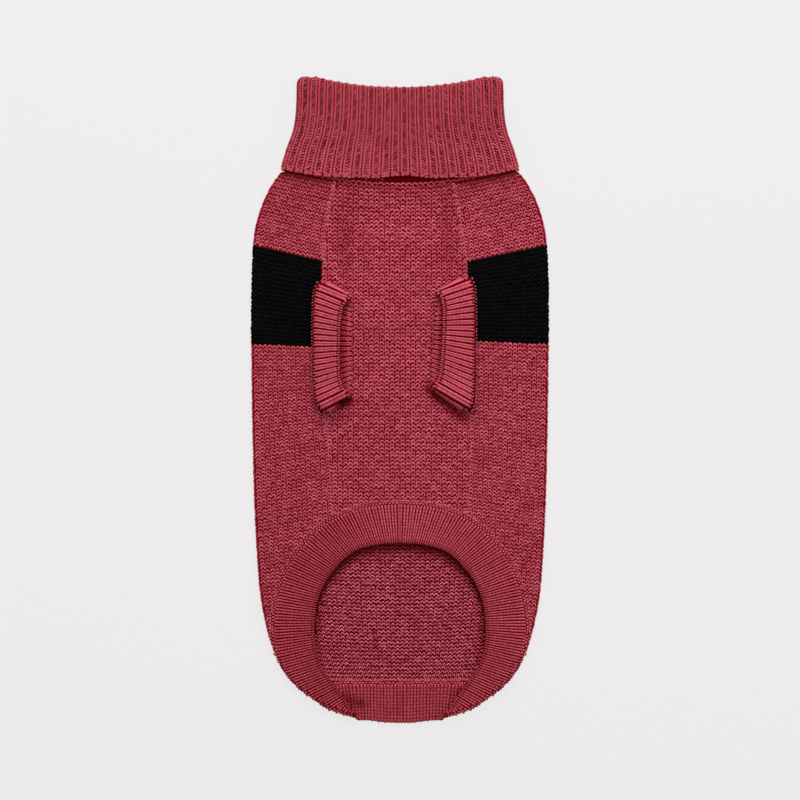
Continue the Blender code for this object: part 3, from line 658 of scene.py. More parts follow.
def hem_ribs():
    """Places of the ribs from the middle of the back to the middle of the belly."""
    fine = np.linspace(0.0, BAND_LAST, 400)
    line = hem_point(fine, np.full_like(fine, 0.5))
    pitch = HEM_BACK_PITCH + (HEM_RIB_PITCH - HEM_BACK_PITCH) * smooth_step(fine[1:], *HEM_PITCH_ROWS)
    passed = np.concatenate([[0.0], np.cumsum(np.linalg.norm(np.diff(line, axis=0), axis=1) / pitch)])
    ribs = round(passed[-1])
    ribs += ribs % 2
    return np.interp(np.linspace(0.0, passed[-1], ribs + 1), passed, fine)


HEM_PLACES = hem_ribs()
HEM_HALF = len(HEM_PLACES) - 1
HEM_ROWS = 12


def hem_knit(u, v):
    """Rib u, from -HEM_HALF on the left to HEM_HALF on the right, in row v from the seam."""
    u = (u + HEM_HALF) % (2 * HEM_HALF) - HEM_HALF
    place = np.where(u < 0, -1.0, 1.0) * np.interp(np.abs(u), np.arange(HEM_HALF + 1), HEM_PLACES)
    return hem_point(np.where(place == 0, 1e-6, place), v / HEM_ROWS)


def hem_normals(u, v):
    return surface_normals(hem_knit, u + 1e-4, v, 0.02, 0.02)


def rear_seam():
    """Y and the distance round the body tube along the hem seam, from the middle of the back to the belly."""
    places = np.linspace(0.0, BAND_LAST, 8 * len(HEM_BAND))
    found = []
    for x, y, z in hem_point(places, np.zeros_like(places)):
        flat = float(half_girth(y) - fold_reach(y))
        up = (z - float(centre_height(y))) / FOLD_RADIUS
        if x > flat and abs(up) < 1.0:
            around = flat + FOLD_RADIUS * math.acos(-up)
        else:
            around = x if up < 0 else 2 * flat + FOLD_LENGTH - x
        if y > REAR_SEAM + 0.1:
            found.append((y, around))
    return np.array(found)


REAR_LINE = rear_seam()


def back_end(side, y):
    """Distance round the tube at which the back panel ends."""
    flat = half_girth(y) - fold_reach(y)
    edge = np.where(side < 0, -belly_edge(-1, y, 1), belly_edge(1, y, 1))
    beside_belly = 2 * flat + FOLD_LENGTH - edge
    beside_band = np.interp(y, REAR_LINE[:, 0], REAR_LINE[:, 1]) - SEAM_GAP
    return np.where(y < BELLY_CORNER, beside_band, beside_belly)


def arch_seam(x):
    """Y of the seam between the belly panel and the hem band."""
    curve = smooth_rows(HEM_BAND, np.linspace(BAND_LAST, BAND_LAST - 4.0, 33))
    return np.interp(np.abs(x), curve[:, 0], curve[:, 1])


def arch_edge(x):
    """Y of the band's loose edge round the upper part of the rear opening."""
    curve = smooth_rows(HEM_BAND, np.linspace(BAND_LAST, 13.0, 60))
    return np.interp(np.abs(x), curve[:, 4], curve[:, 5])


# ----------------------------------------------------------------------------------- collar surface
COLLAR_ROUND = 2 * (COLLAR_RIBS + COLLAR_END_RIBS)
COLLAR_ROWS = 31  # from the loose edge to the fold
FOLD_ROWS = 4  # round the fold
NECK_WALES = 90


def collar_round(u):
    """Share across the flat part and the angle at the ends, of rib u from the left of the front face."""
    u = u % COLLAR_ROUND
    knots = np.cumsum([0, COLLAR_RIBS, COLLAR_END_RIBS, COLLAR_RIBS, COLLAR_END_RIBS])
    share = np.interp(u, knots, [-1.0, 1.0, 1.0, -1.0, -1.0])
    angle = np.interp(u, knots, [0.0, 0.0, math.pi, math.pi, 2 * math.pi])
    return share, angle


def collar_point(share, angle, depth, y):
    """A point at a depth outwards from the neck's mid plane."""
    x = share * collar_half(y) + depth * np.sin(angle)
    return np.stack([x, y + 0.0 * x, COLLAR_OUTER + depth * np.cos(angle)], axis=-1)


def collar_lines(share):
    """Y of the neck seam, the fold and the loose edge."""
    spread = np.abs(share)
    seam = NECK_SEAM + SEAM_GAP + NECK_SEAM_RISE * spread**2
    top = COLLAR_TOP - COLLAR_TURN + COLLAR_TOP_RISE * np.minimum(spread / COLLAR_RISE_END, 1.0) ** 2
    lift = COLLAR_EDGE_LIFT * bell(share - COLLAR_EDGE_LIFT_AT, COLLAR_EDGE_LIFT_REACH)
    return seam, top, COLLAR_EDGE + COLLAR_EDGE_RISE * spread**4 + lift


COLLAR_FACE = COLLAR_OUTER - HALF_WALL  # from the mid plane to the middle of the folded part's wall
COLLAR_BOW = COLLAR_TURN - HALF_WALL  # radius of the middle of the wall at the fold


def collar_knit(u, v):
    """Rib u, in row v up from the loose edge and over the fold, in the middle of the wall."""
    share, angle = collar_round(u)
    _, top, edge = collar_lines(share)
    over = np.clip((v - COLLAR_ROWS) / FOLD_ROWS, 0.0, 1.0) * math.pi
    depth = (COLLAR_INNER + COLLAR_OUTER) / 2 + COLLAR_BOW * np.cos(over)
    depth = np.where(over > 0, depth, COLLAR_FACE)
    y = edge + (top - edge) * np.minimum(v, COLLAR_ROWS) / COLLAR_ROWS + COLLAR_BOW * np.sin(over)
    return collar_point(share, angle, depth, y)


def neck_knit(u, v):
    """The foot of the neck tube where it is linked to the body: wale u, in row v down from the seam."""
    share, angle = collar_round(u * COLLAR_ROUND / NECK_WALES)
    seam, _, _ = collar_lines(share)
    return collar_point(share, angle, COLLAR_INNER + HALF_WALL, seam - FOOT_START - v * FOOT_COURSE)


def top_shade(x, y):
    """Shade on the upper layer: under the loose edge of the collar, in the troughs of the belly panel and
    in the hollows of the ribbing, and a little less towards the right."""
    spread = np.minimum(np.abs(x) / NECK_HALF_WIDTH, 1.0)
    drop = np.maximum(COLLAR_EDGE + COLLAR_EDGE_RISE * spread**4 - y, 0.0)
    shade = 1.0 - sum(shadow.at(drop) for shadow in COLLAR_SHADOWS)
    for trough in TROUGH_X:
        shade = shade * (1.0 - trough_reach(y) * TROUGH_SHADOW.at(x - trough))
    return shade * hollow_shade(x, y) * (1.02 + 0.04 * smooth_step(x, -70.0, 70.0))


def foot_shade(x, y):
    """Shade on the neck's foot, deep under the collar's edge where the edge is lifted; further left it is
    painted light, lighter than the yarn's own colour.
    """
    return 0.42 + 1.1 * smooth_step(-x, 6.0, 16.0) + 0.25 * smooth_step(x, 24.0, 40.0)


def hollow_shade(x, y):
    """Shade in the hollows of the ribbing."""
    shade = 1.0
    for start, end, shadow in HOLLOWS:
        _, away = beside_line(x, y, start, end)
        shade = shade * (1.0 - shadow.at(away))
    return shade


def band_shade(x, y):
    """Shade on either side of the rear band, a little more on the left, away from the stronger light."""
    return 1.0 - 0.2 * smooth_step(-x, 10.0, 45.0) - 0.12 * smooth_step(x, 15.0, 50.0)


def arch_shade(x, y):
    """Shade on the back panel, seen through the rear opening: close to the band, and along the ring of
    stitches that holds a patch on the other side."""
    below = np.maximum(arch_edge(x) - y, 0.0)
    beside = np.maximum(REAR_HALF_WIDTH - np.abs(x), 0.0)
    aside, along = x - PATCH_CENTRE[0], y - PATCH_CENTRE[1]
    dash = 0.65 + 0.35 * np.cos(PATCH_DASHES * np.arctan2(along, aside))
    strength = 0.3 + 0.35 * smooth_step(-aside - along, 0.0, PATCH_RADIUS)
    ring = strength * dash * bell(np.hypot(aside, along) - PATCH_RADIUS, PATCH_THREAD)
    return (1.0 - ARCH_SHADOW.at(below)) * (1.0 - REAR_SIDE_SHADOW.at(beside)) * (1.0 - ring)


# ------------------------------------------------------------------------------------- cuff surface
def cuff_ring():
    """Places round a cuff: down its upper layer, round the lower end, up its under layer, round the upper
    end. Each has its layer, -1 for the upper and 1 for the under one, its share down the straight part, and
    how far it stands out round an end, 1 at the upper end's tip and -1 at the lower one's."""
    steps = np.linspace(0.0, 1.0, 2 * CUFF_RIBS - 1)
    turns = np.linspace(0.0, math.pi, 5)[1:-1]
    layer = np.concatenate([-np.ones_like(steps), -np.cos(turns), np.ones_like(steps), np.cos(turns)])
    down = np.concatenate([steps, np.ones_like(turns), steps[::-1], np.zeros_like(turns)])
    end = np.concatenate([0 * steps, -np.sin(turns), 0 * steps, np.sin(turns)])
    return layer, down, end


CUFF_RING = cuff_ring()
CUFF_ROUND = len(CUFF_RING[0]) / 2  # ribs all round
CUFF_ROWS = 11


def cuff_point(cuff, layer, down, end, out):
    """Middle of a cuff's wall, out from 0 at its root to 1 at its mouth."""
    flat_y = cuff.root_top - CUFF_ROOT_ROUND
    flat_y = flat_y + (cuff.root_bottom + CUFF_ROOT_ROUND - flat_y) * down
    bulge = np.sqrt(np.clip(1 - (2 * down - 1) ** 4, 0.0, 1.0))
    root_y = flat_y + end * CUFF_ROOT_ROUND
    line = armhole(cuff, flat_y)
    root_x = seam_x(cuff.side, root_y) * (1 - line) + cuff.root_middle * line
    root_x = root_x - cuff.side * (CUFF_ROOT_END + (cuff.root_half - CUFF_ROOT_END) * bulge) * layer
    rest = top_height(root_x, root_y) + HALF_WALL + REST_GAP
    root_z = rest + CUFF_WALL / 2 * np.sqrt((layer + 1) / 2)

    gap = CUFF_HALF_GAP + (cuff.curl - CUFF_HALF_GAP) * smooth_step(down, 0.8, 1.0)
    mouth_y = cuff.mouth_top - CUFF_HALF_GAP
    mouth_y = mouth_y + (cuff.mouth_bottom + cuff.curl - mouth_y) * down + end * gap
    mouth_x = cuff.mouth_under - cuff.side * cuff.mouth_lean * (down - 0.5)
    slant = CUFF_END_SLANT + (1 - CUFF_END_SLANT) * bulge
    mouth_x = mouth_x + (cuff.mouth_upper - cuff.mouth_under) * slant * (1 - layer) / 2
    floor = top_height(mouth_x, mouth_y) + HALF_WALL + REST_GAP
    mouth_z = floor + CUFF_WALL / 2 + gap * (1 - layer)

    first = np.stack([root_x, root_y, root_z], axis=-1)
    last = np.stack([mouth_x, mouth_y, mouth_z], axis=-1)
    upright = ((1 - layer) / 2)[..., None]
    across = last - first
    up = across * (0.0, 0.0, 1.0)
    sideways = across * (1.0, 1.0, 0.0)
    second = first + up * upright * CUFF_CROWN + sideways * CUFF_LEAN * (1 - upright)
    third = last - sideways / 2
    t = out[..., None]
    return (1 - t) ** 3 * first + 3 * (1 - t) ** 2 * t * second + 3 * (1 - t) * t**2 * third + t**3 * last


def cuff_knit(cuff):
    """The surface of one cuff: rib u round it, in row v from its root to its mouth."""
    count = len(CUFF_RING[0])

    def point(u, v):
        place = (2 * u) % count
        ring = [np.interp(place, np.arange(count + 1), np.append(row, row[0])) for row in CUFF_RING]
        return cuff_point(cuff, *ring, np.clip(v / CUFF_ROWS, 0.0, 1.0))

    return point


# -------------------------------------------------------------------------------------- node making
class Socket:
    """A value in a node tree. Sums and products of values add their Math nodes."""

    def __init__(self, nodes, socket):
        self.nodes, self.socket = nodes, socket

    def maths(self, operation, *others):
        return self.nodes.make("ShaderNodeMath", {"operation": operation}, dict(enumerate([self, *others])))

    def __add__(self, other):
        return self.maths("ADD", other)

    __radd__ = __add__

    def __sub__(self, other):
        return self.maths("SUBTRACT", other)

    def __mul__(self, other):
        return self.maths("MULTIPLY", other)

    def __pow__(self, other):
        return self.maths("POWER", other)


class Nodes:
    """Makes the nodes of one tree."""

    def __init__(self, tree):
        self.tree = tree

    def node(self, kind, settings=None, inputs=None):
        """A node with its settings made first, then its sockets' values or links."""
        node = self.tree.nodes.new(kind)
        for name, value in (settings or {}).items():
            setattr(node, name, value)
        for name, value in (inputs or {}).items():
            socket = node.inputs[name]
            if isinstance(value, Socket):
                self.tree.links.new(value.socket, socket)
            else:
                socket.default_value = value
        return node

    def make(self, kind, settings=None, inputs=None, output=0):
        return Socket(self, self.node(kind, settings, inputs).outputs[output])

    def attribute(self, name):
        return self.make("ShaderNodeAttribute", {"attribute_name": name}, output="Fac")

    def noise(self, scale, detail):
        coords = self.make("ShaderNodeTexCoord", output="Object")
        return self.make("ShaderNodeTexNoise", None, {"Vector": coords, "Scale": scale, "Detail": detail})

    def mix(self, share, first, second):
        return self.make("ShaderNodeMix", {"data_type": "RGBA"}, {0: share, 6: first, 7: second}, output=2)

    def ramp(self, value, low, high):
        """0 below low, 1 above high, smooth between."""
        settings = {"interpolation_type": "SMOOTHSTEP"}
        return self.make("ShaderNodeMapRange", settings, {"Value": value, "From Min": low, "From Max": high})


# ------------------------------------------------------------------------------------- the stitches
class Strand(NamedTuple):
    """A point on the middle of a yarn, in a stitch that faces up."""

    x: float
    y: float
    z: float
    radius: float


def mirrored(points):
    return [Strand(-p.x, p.y, p.z, p.radius) for p in reversed(points)]


def arched(top, *half):
    """A stitch of one yarn with a top point, from the points on its left."""
    return [[*half, top, *mirrored(half)]]


def slanting(*half):
    """A stitch of one slanting yarn, from the points on its lower left."""
    return [[*half, *(Strand(-p.x, -p.y, p.z, p.radius) for p in reversed(half))]]


def rib_legs(centre, radius, neck=0.95):
    """The two columns of yarn that a rib shows. They run on from stitch to stitch and are thinner between."""
    leg = [
        Strand(-centre - 0.03, -1.55, -0.02, 0.0),
        Strand(-centre - 0.03, -1.0, -0.02, radius * neck),
        Strand(-centre, 0.0, 0.05, radius),
        Strand(-centre + 0.03, 1.0, -0.02, radius * neck),
        Strand(-centre + 0.03, 1.55, -0.02, 0.0),
    ]
    return [leg, mirrored(leg)]


ARCH_FOOT = Strand(-1.6, -1.4, -0.35, 0.25)
ARCH_TOP = Strand(0.0, 0.98, 0.06, 0.6)
ARCH = arched(ARCH_TOP, ARCH_FOOT, Strand(-1.26, -0.62, 0.0, 0.52), Strand(-0.82, 0.4, 0.1, 0.56))
PLAIN_ARCH = arched(ARCH_TOP, ARCH_FOOT, Strand(-1.0, 0.0, 0.06, 0.56))  # for the underside
RIPPLE = arched(
    Strand(0.0, 0.8, 0.1, 0.5),
    Strand(-1.9, -0.9, -0.1, 0.4),
    Strand(-1.45, -0.75, -0.05, 0.44),
    Strand(-0.75, 0.1, 0.1, 0.52),
)
KNOT = [
    [
        Strand(-0.85, -0.3, -0.4, 0.2),
        Strand(-0.28, 0.0, 0.1, 0.66),
        Strand(0.28, 0.1, 0.1, 0.66),
        Strand(0.85, 0.4, -0.4, 0.2),
    ]
]
SLANTED = slanting(Strand(-1.2, -1.3, -0.1, 0.2), Strand(-0.65, -0.75, 0.1, 0.4))
# painted shade: a short dark yarn that stands for the shade in each hole between the grooves' slanting yarns
SLIT_SHADE = slanting(Strand(-0.66, -0.4, 0.0, 0.1), Strand(-0.32, -0.18, 0.0, 0.33))
SLANTED_BACK, SLIT_SHADE_BACK = ([mirrored(form[0])] for form in (SLANTED, SLIT_SHADE))


def solid_mesh(name, points, faces):
    """A closed smooth mesh with its faces turned outwards."""
    mesh = bpy.data.meshes.new(name)
    mesh.from_pydata((np.asarray(points) * MM).tolist(), [], faces)
    built = bmesh.new()
    built.from_mesh(mesh)
    bmesh.ops.recalc_face_normals(built, faces=built.faces)
    built.to_mesh(mesh)
    built.free()
    mesh.shade_smooth()
    return mesh


def set_attribute(mesh, name, values, kind="FLOAT"):
    values = np.ascontiguousarray(values, np.float32).ravel()
    key = "value" if kind == "FLOAT" else "vector"
    mesh.attributes.new(name, kind, "POINT").data.foreach_set(key, values)


def stitch_form(name, yarns, swell):
    """A stitch as a mesh: each yarn is a closed bent tube with pointed ends. Its lengthways attribute runs
    along the yarn, and its depth attribute rises from the cloth to the top of the yarn."""
    made, faces = [], []
    for yarn in yarns:
        line = np.array(yarn, float)
        middle, radius = line[:, :3], line[:, 3] * swell
        way = unit(np.gradient(middle, axis=0))
        aside = unit(np.cross(way, (0.0, 0.0, 1.0)))
        above = np.cross(aside, way)
        first, final = len(made), len(line) - 1
        made.append((middle[0], 0.0, 0.0))
        for i in range(1, final):
            for side in range(YARN_SIDES):
                angle = 2 * math.pi * side / YARN_SIDES
                out = aside[i] * math.cos(angle) + above[i] * math.sin(angle)
                made.append((middle[i] + radius[i] * out, 0.5 + 0.5 * math.sin(angle), i / final))
        made.append((middle[-1], 0.0, 1.0))
        last = len(made) - 1
        for side in range(YARN_SIDES):
            other = (side + 1) % YARN_SIDES
            faces.append((first, first + 1 + side, first + 1 + other))
            faces.append((last, last - YARN_SIDES + other, last - YARN_SIDES + side))
            for ring in range(final - 2):
                a = first + 1 + ring * YARN_SIDES
                b = a + YARN_SIDES
                faces.append((a + side, b + side, b + other, a + other))
    points, depth, lengthways = zip(*made)
    mesh = solid_mesh(name, points, faces)
    set_attribute(mesh, "depth", depth)
    set_attribute(mesh, "lengthways", lengthways)
    return bpy.data.objects.new(name, mesh)


def stitch_tree():
    """Geometry nodes that put a stitch on each point, turned and sized as its attributes say."""
    tree = bpy.data.node_groups.new("knit_stitches", "GeometryNodeTree")
    for name, kind in (
        ("Cells", "Geometry"),
        ("Stitch", "Object"),
        ("Unevenness", "Float"),
        ("Seed", "Int"),
        ("Yarn", "Material"),
    ):
        tree.interface.new_socket(name=name, in_out="INPUT", socket_type="NodeSocket" + kind)
    tree.interface.new_socket(name="Knit", in_out="OUTPUT", socket_type="NodeSocketGeometry")
    nodes = Nodes(tree)
    given = nodes.node("NodeGroupInput").outputs
    cells, stitch, unevenness, seed, yarn = (Socket(nodes, given[i]) for i in range(5))

    def read(name):
        return nodes.make("GeometryNodeInputNamedAttribute", {"data_type": "FLOAT_VECTOR"}, {"Name": name})

    def random_value(salt, low=-1.0):
        inputs = {"Seed": seed + salt, 2: low, 3: 1.0}
        return nodes.make("FunctionNodeRandomValue", {"data_type": "FLOAT"}, inputs, output=1)

    def random_vector(salt, amounts):
        parts = [random_value(salt + i) * unevenness * amount for i, amount in enumerate(amounts)]
        return nodes.make("ShaderNodeCombineXYZ", None, dict(enumerate(parts)))

    form = nodes.make("GeometryNodeObjectInfo", None, {"Object": stitch}, output="Geometry")
    axes = {"primary_axis": "Z", "secondary_axis": "Y"}
    turn = nodes.make("FunctionNodeAxesToRotation", axes, {0: read("facing"), 1: read("wale")})
    lean = nodes.make("FunctionNodeEulerToRotation", None, {0: random_vector(1, STITCH_TILT)})
    turn = nodes.make("FunctionNodeRotateRotation", {"rotation_space": "LOCAL"}, {0: turn, 1: lean})
    swell = 1.0 + random_value(4) * unevenness * STITCH_SWELL
    size = nodes.make("ShaderNodeVectorMath", {"operation": "SCALE"}, {0: read("size"), "Scale": swell})
    each = {"Points": cells, "Instance": form, "Rotation": turn, "Scale": size}
    placed = nodes.make("GeometryNodeInstanceOnPoints", None, each)
    stray = {"Instances": placed, "Translation": random_vector(6, STITCH_STRAY)}
    placed = nodes.make("GeometryNodeTranslateInstances", None, stray)
    tint = {"Geometry": placed, "Name": "tint", "Value": random_value(5, 0.0)}
    placed = nodes.make("GeometryNodeStoreNamedAttribute", {"data_type": "FLOAT", "domain": "INSTANCE"}, tint)
    for name in ("facing", "wale", "size"):
        placed = nodes.make("GeometryNodeRemoveAttribute", None, {"Geometry": placed, "Name": name})
    knit = nodes.make("GeometryNodeRealizeInstances", None, {"Geometry": placed})
    knit = nodes.make("GeometryNodeSetMaterial", None, {"Geometry": knit, "Material": yarn})
    nodes.node("NodeGroupOutput", None, {0: knit})
    return tree


def add_piece(name, mesh, slot):
    """Makes a finished mesh a piece that rides with the garment's body. The slot it is given is not used."""
    piece = bpy.data.objects.new(name, mesh)
    bpy.context.scene.collection.objects.link(piece)
    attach(piece, BODY)
    return piece


def knit_piece(name, cells, form, yarn, seed, uneven=1.0):
    """All the stitches of one piece, as one plain mesh."""
    tree = bpy.data.node_groups.get("knit_stitches") or stitch_tree()
    mesh = bpy.data.meshes.new(name)
    mesh.from_pydata((cells.place * MM).tolist(), [], [])
    for key in ("facing", "wale", "size"):
        set_attribute(mesh, key, getattr(cells, key), "FLOAT_VECTOR")
    set_attribute(mesh, "shade", cells.shade)
    carrier = bpy.data.objects.new(name + "_cells", mesh)
    bpy.context.scene.collection.objects.link(carrier)
    sizes = bpy.context.scene.sweater_sizes
    stitch = stitch_form(name + "_stitch", form, sizes.yarn_swell)
    modifier = carrier.modifiers.new("knit", "NODES")
    modifier.node_group = tree
    sockets = {item.name: item.identifier for item in tree.interface.items_tree if item.in_out == "INPUT"}
    modifier[sockets["Stitch"]] = stitch
    modifier[sockets["Unevenness"]] = sizes.unevenness * uneven
    modifier[sockets["Seed"]] = sizes.seed + seed
    modifier[sockets["Yarn"]] = material_of(yarn)
    graph = bpy.context.evaluated_depsgraph_get()
    knit = bpy.data.meshes.new_from_object(carrier.evaluated_get(graph))
    knit.name = name
    carrier.modifiers.remove(modifier)
    for used in (carrier, stitch):
        used_mesh = used.data
        bpy.data.objects.remove(used)
        bpy.data.meshes.remove(used_mesh)
    return add_piece(name, knit, YARNS[yarn].slot)


# ---------------------------------------------------------------------------------------- the cloth
def closed_cloth(name, points, faces, cloths, slot, marks=None):
    """A closed thin shell as a piece. marks say which of the cloths each face has."""
    mesh = solid_mesh(name, points, faces)
    for cloth in cloths:
        mesh.materials.append(material_of(cloth))
    if marks is not None:
        mesh.polygons.foreach_set("material_index", marks)
    return add_piece(name, mesh, slot)


def grid_faces(rows, columns, offset=0, closed=False):
    """Quads of a grid of points. A closed grid joins its last column to its first."""
    r, c = np.meshgrid(np.arange(rows - 1), np.arange(columns if closed else columns - 1), indexing="ij")
    d = (c + 1) % columns
    low, high = offset + r * columns, offset + (r + 1) * columns
    return np.stack([low + c, low + d, high + d, high + c], axis=-1).reshape(-1, 4).tolist()


def panel_cloth(name, point, u, v, cloths, row_marks=None):
    """A thin wall round the surface point(u, v), closed by a rim. row_marks say which cloth each row is of.
    A row of the first cloth is of the third one on its inner side."""
    middle = point(u, v)
    normals = surface_normals(point, u, v, 0.05, 0.05)
    rows, columns = u.shape
    count = rows * columns
    faces = grid_faces(rows, columns) + grid_faces(rows, columns, count)
    rim = [(0, c) for c in range(columns)] + [(r, columns - 1) for r in range(1, rows)]
    rim += [(rows - 1, c) for c in range(columns - 2, -1, -1)] + [(r, 0) for r in range(rows - 2, 0, -1)]
    places = [r * columns + c for r, c in rim]
    for here, there in zip(places, places[1:] + places[:1]):
        faces.append((here, there, count + there, count + here))
    points = np.concatenate([(middle + normals * side * CLOTH_HALF).reshape(-1, 3) for side in (-1, 1)])
    marks = None
    if row_marks is not None:
        grid = np.repeat(row_marks, columns - 1)
        rim_marks = [row_marks[min(r, rows - 2)] for r, _ in rim]
        marks = np.concatenate([np.where(grid == 0, 2, grid), grid, rim_marks]).astype(np.int32)
    return closed_cloth(name, points, faces, cloths, "body_knit", marks)


def ring_cloth(name, rings, cloth):
    """A closed ribbed wall round an opening, through rings of points along its outside and back inside."""
    rows, columns = rings.shape[:2]
    faces = grid_faces(rows, columns, closed=True)
    last = (rows - 1) * columns
    faces += [(last + c, last + (c + 1) % columns, (c + 1) % columns, c) for c in range(columns)]
    return closed_cloth(name, rings.reshape(-1, 3), faces, [cloth], "rib_knit")


def wall_rings(point, u, rows, normals_at, relief_at):
    """Rings of points along a wall's outside, raised by its relief, and back along its inside."""
    outside, inside = [], []
    for row in rows:
        v = np.full_like(u, row)
        middle, normals = point(u, v), normals_at(u, v)
        outside.append(middle + normals * (CLOTH_HALF + relief_at(u, v, normals[:, 2]))[:, None])
        inside.append(middle - normals * CLOTH_HALF)
    return np.array(outside + inside[::-1])


def rib_wave(places):
    """1 on a rib and 0 in the groove beside it, for places counted in ribs."""
    return 0.5 + 0.5 * np.cos(2 * math.pi * places)


def rib_share(up):
    """Ribs stand up where the cloth faces up or sideways and lie flat where it rests on something."""
    return smooth_step(up, -0.75, 0.15)


def hem_relief(u, v, up):
    """Ribs where the band lies flat, and an even swelling where it turns over."""
    upright = smooth_step(np.abs(up), 0.2, 0.8)
    return HEM_RIB * rib_wave(u) * rib_share(up) * upright + HEM_TURN_SWELL * (1.0 - upright)


def cuff_relief(u, v, up):
    """Ribs that start softly at the root."""
    return CUFF_RIB * rib_wave(u) * rib_share(up) * smooth_step(v, 0.0, 2.0)


# ---------------------------------------------------------------------------------------- materials
class Yarn(NamedTuple):
    colour: str  # the user's colours where the yarn catches the light, as painted highlight, and where it meets the cloth, as painted shade
    deep: str
    slot: str
    low: float = 0.28  # depths in the yarn between which the one becomes the other
    full: float = 0.9
    mottle: float = 0.34  # how much the stitches differ in tint
    sheen: float = 0.0  # beyond the gloss of all the yarns


YARNS = {
    "red_yarn": Yarn("red", "deep_red", "body_knit"),
    "rib_yarn": Yarn("rib_red", "rib_deep_red", "rib_knit", 0.15, 0.75, 0.14),
    "black_yarn": Yarn("black", "black", "black_knit", sheen=0.08),
}
CLOTHS = {
    "red_cloth": "groove_red",
    "inside_cloth": "inside_red",
    "rib_cloth": "rib_groove_red",
    "black_cloth": "black",
}


def linear(red, green, blue):
    """A colour given in eight-bit screen numbers, for a colour socket."""
    channels = (np.array((red, green, blue)) / 255 + 0.055) / 1.055
    return (*(channels**2.4).tolist(), 1.0)


def new_material(name):
    material = bpy.data.materials.new(name)
    material.use_nodes = True
    material.node_tree.nodes.clear()
    return material, Nodes(material.node_tree)


def finish_material(nodes, inputs):
    shader = nodes.make("ShaderNodeBsdfPrincipled", None, inputs)
    nodes.node("ShaderNodeOutputMaterial", None, {"Surface": shader})


def yarn_material(name, yarn, colours):
    """Matt spun yarn: each stitch has its own tint, its colour is painted deeper towards the cloth as shade
    and lighter on its top as highlight, and its plies wind round it."""
    material, nodes = new_material(name)
    colour, deep = ([*getattr(colours, key), 1.0] for key in (yarn.colour, yarn.deep))
    fibre, heather = nodes.noise(1400.0, 3.0), nodes.noise(45.0, 2.0)
    depth, tint, shade = (nodes.attribute(key) for key in ("depth", "tint", "shade"))
    plies = (nodes.attribute("lengthways") * 34.0 + depth * 3.0).maths("SINE")
    # painted shade and highlight: the deep colour low on the yarn towards the cloth, the light colour on its
    # top
    painted_shade_and_highlight = nodes.mix(nodes.ramp(depth, yarn.low, yarn.full), deep, colour)
    mottle = (tint - 0.5) * yarn.mottle + (fibre - 0.5) * 0.7 + (heather - 0.5) * 0.25
    # painted shade and light: the shade attribute darkens the colour in creases, under edges and in hollows,
    # and lightens some pieces above it; green and blue change faster than red, so the shade turns a deeper
    # red
    light = (1.11 + mottle + plies * 0.06) * shade
    cool = light**1.6
    tone = nodes.make("ShaderNodeCombineXYZ", None, {0: light, 1: cool, 2: cool})
    base = nodes.make("ShaderNodeVectorMath", {"operation": "MULTIPLY"}, {0: painted_shade_and_highlight, 1: tone})
    height = fibre * 0.6 + plies * 0.2
    bump = nodes.make("ShaderNodeBump", None, {"Height": height, "Strength": 0.35, "Distance": 0.0002})
    gloss = colours.gloss + yarn.sheen
    surface = {"Base Color": base, "Roughness": 0.85, "Specular IOR Level": gloss, "Normal": bump}
    finish_material(nodes, surface)
    return material


def cloth_material(name, colour):
    """The yarn behind the stitches. The red cloths are drawn much darker than the yarn: painted shade in the
    gaps between the stitches and inside the garment.
    """
    material, nodes = new_material(name)
    fibre = nodes.noise(900.0, 3.0)
    base = nodes.make("ShaderNodeVectorMath", {"operation": "SCALE"}, {0: colour, "Scale": 0.7 + fibre * 0.6})
    bump = nodes.make("ShaderNodeBump", None, {"Height": fibre, "Strength": 0.6, "Distance": 0.0004})
    finish_material(nodes, {"Base Color": base, "Roughness": 0.95, "Specular IOR Level": 0.0, "Normal": bump})
    return material


def material_of(name):
    """One of the sweater's finishes, made the first time it is asked for."""
    colours = bpy.context.scene.sweater_colours
    if name in bpy.data.materials:
        return bpy.data.materials[name]
    if name in YARNS:
        return yarn_material(name, YARNS[name], colours)
    return cloth_material(name, getattr(colours, CLOTHS[name]))


# ------------------------------------------------------------------------------------ user settings
class SweaterSizes(bpy.types.PropertyGroup):
    unevenness: FloatProperty(
        name="Unevenness", description="How uneven the stitches are", default=0.2, min=0.0
    )
    yarn_swell: FloatProperty(
        name="Yarn swell", description="Thickness of the yarn against its gauge", default=1.0
    )
    camera_span: FloatProperty(
        name="View width", description="Width that the camera sees", default=0.5088, unit="LENGTH"
    )
    camera_height: FloatProperty(
        name="Camera height", description="Above the table", default=2.4, unit="LENGTH"
    )
    seed: IntProperty(name="Seed", description="Starts the stitches' unevenness", default=7)


def colour_property(name, description, colour):
    return FloatVectorProperty(
        name=name, description=description, default=linear(*colour)[:3], subtype="COLOR", min=0.0, max=1.0
    )


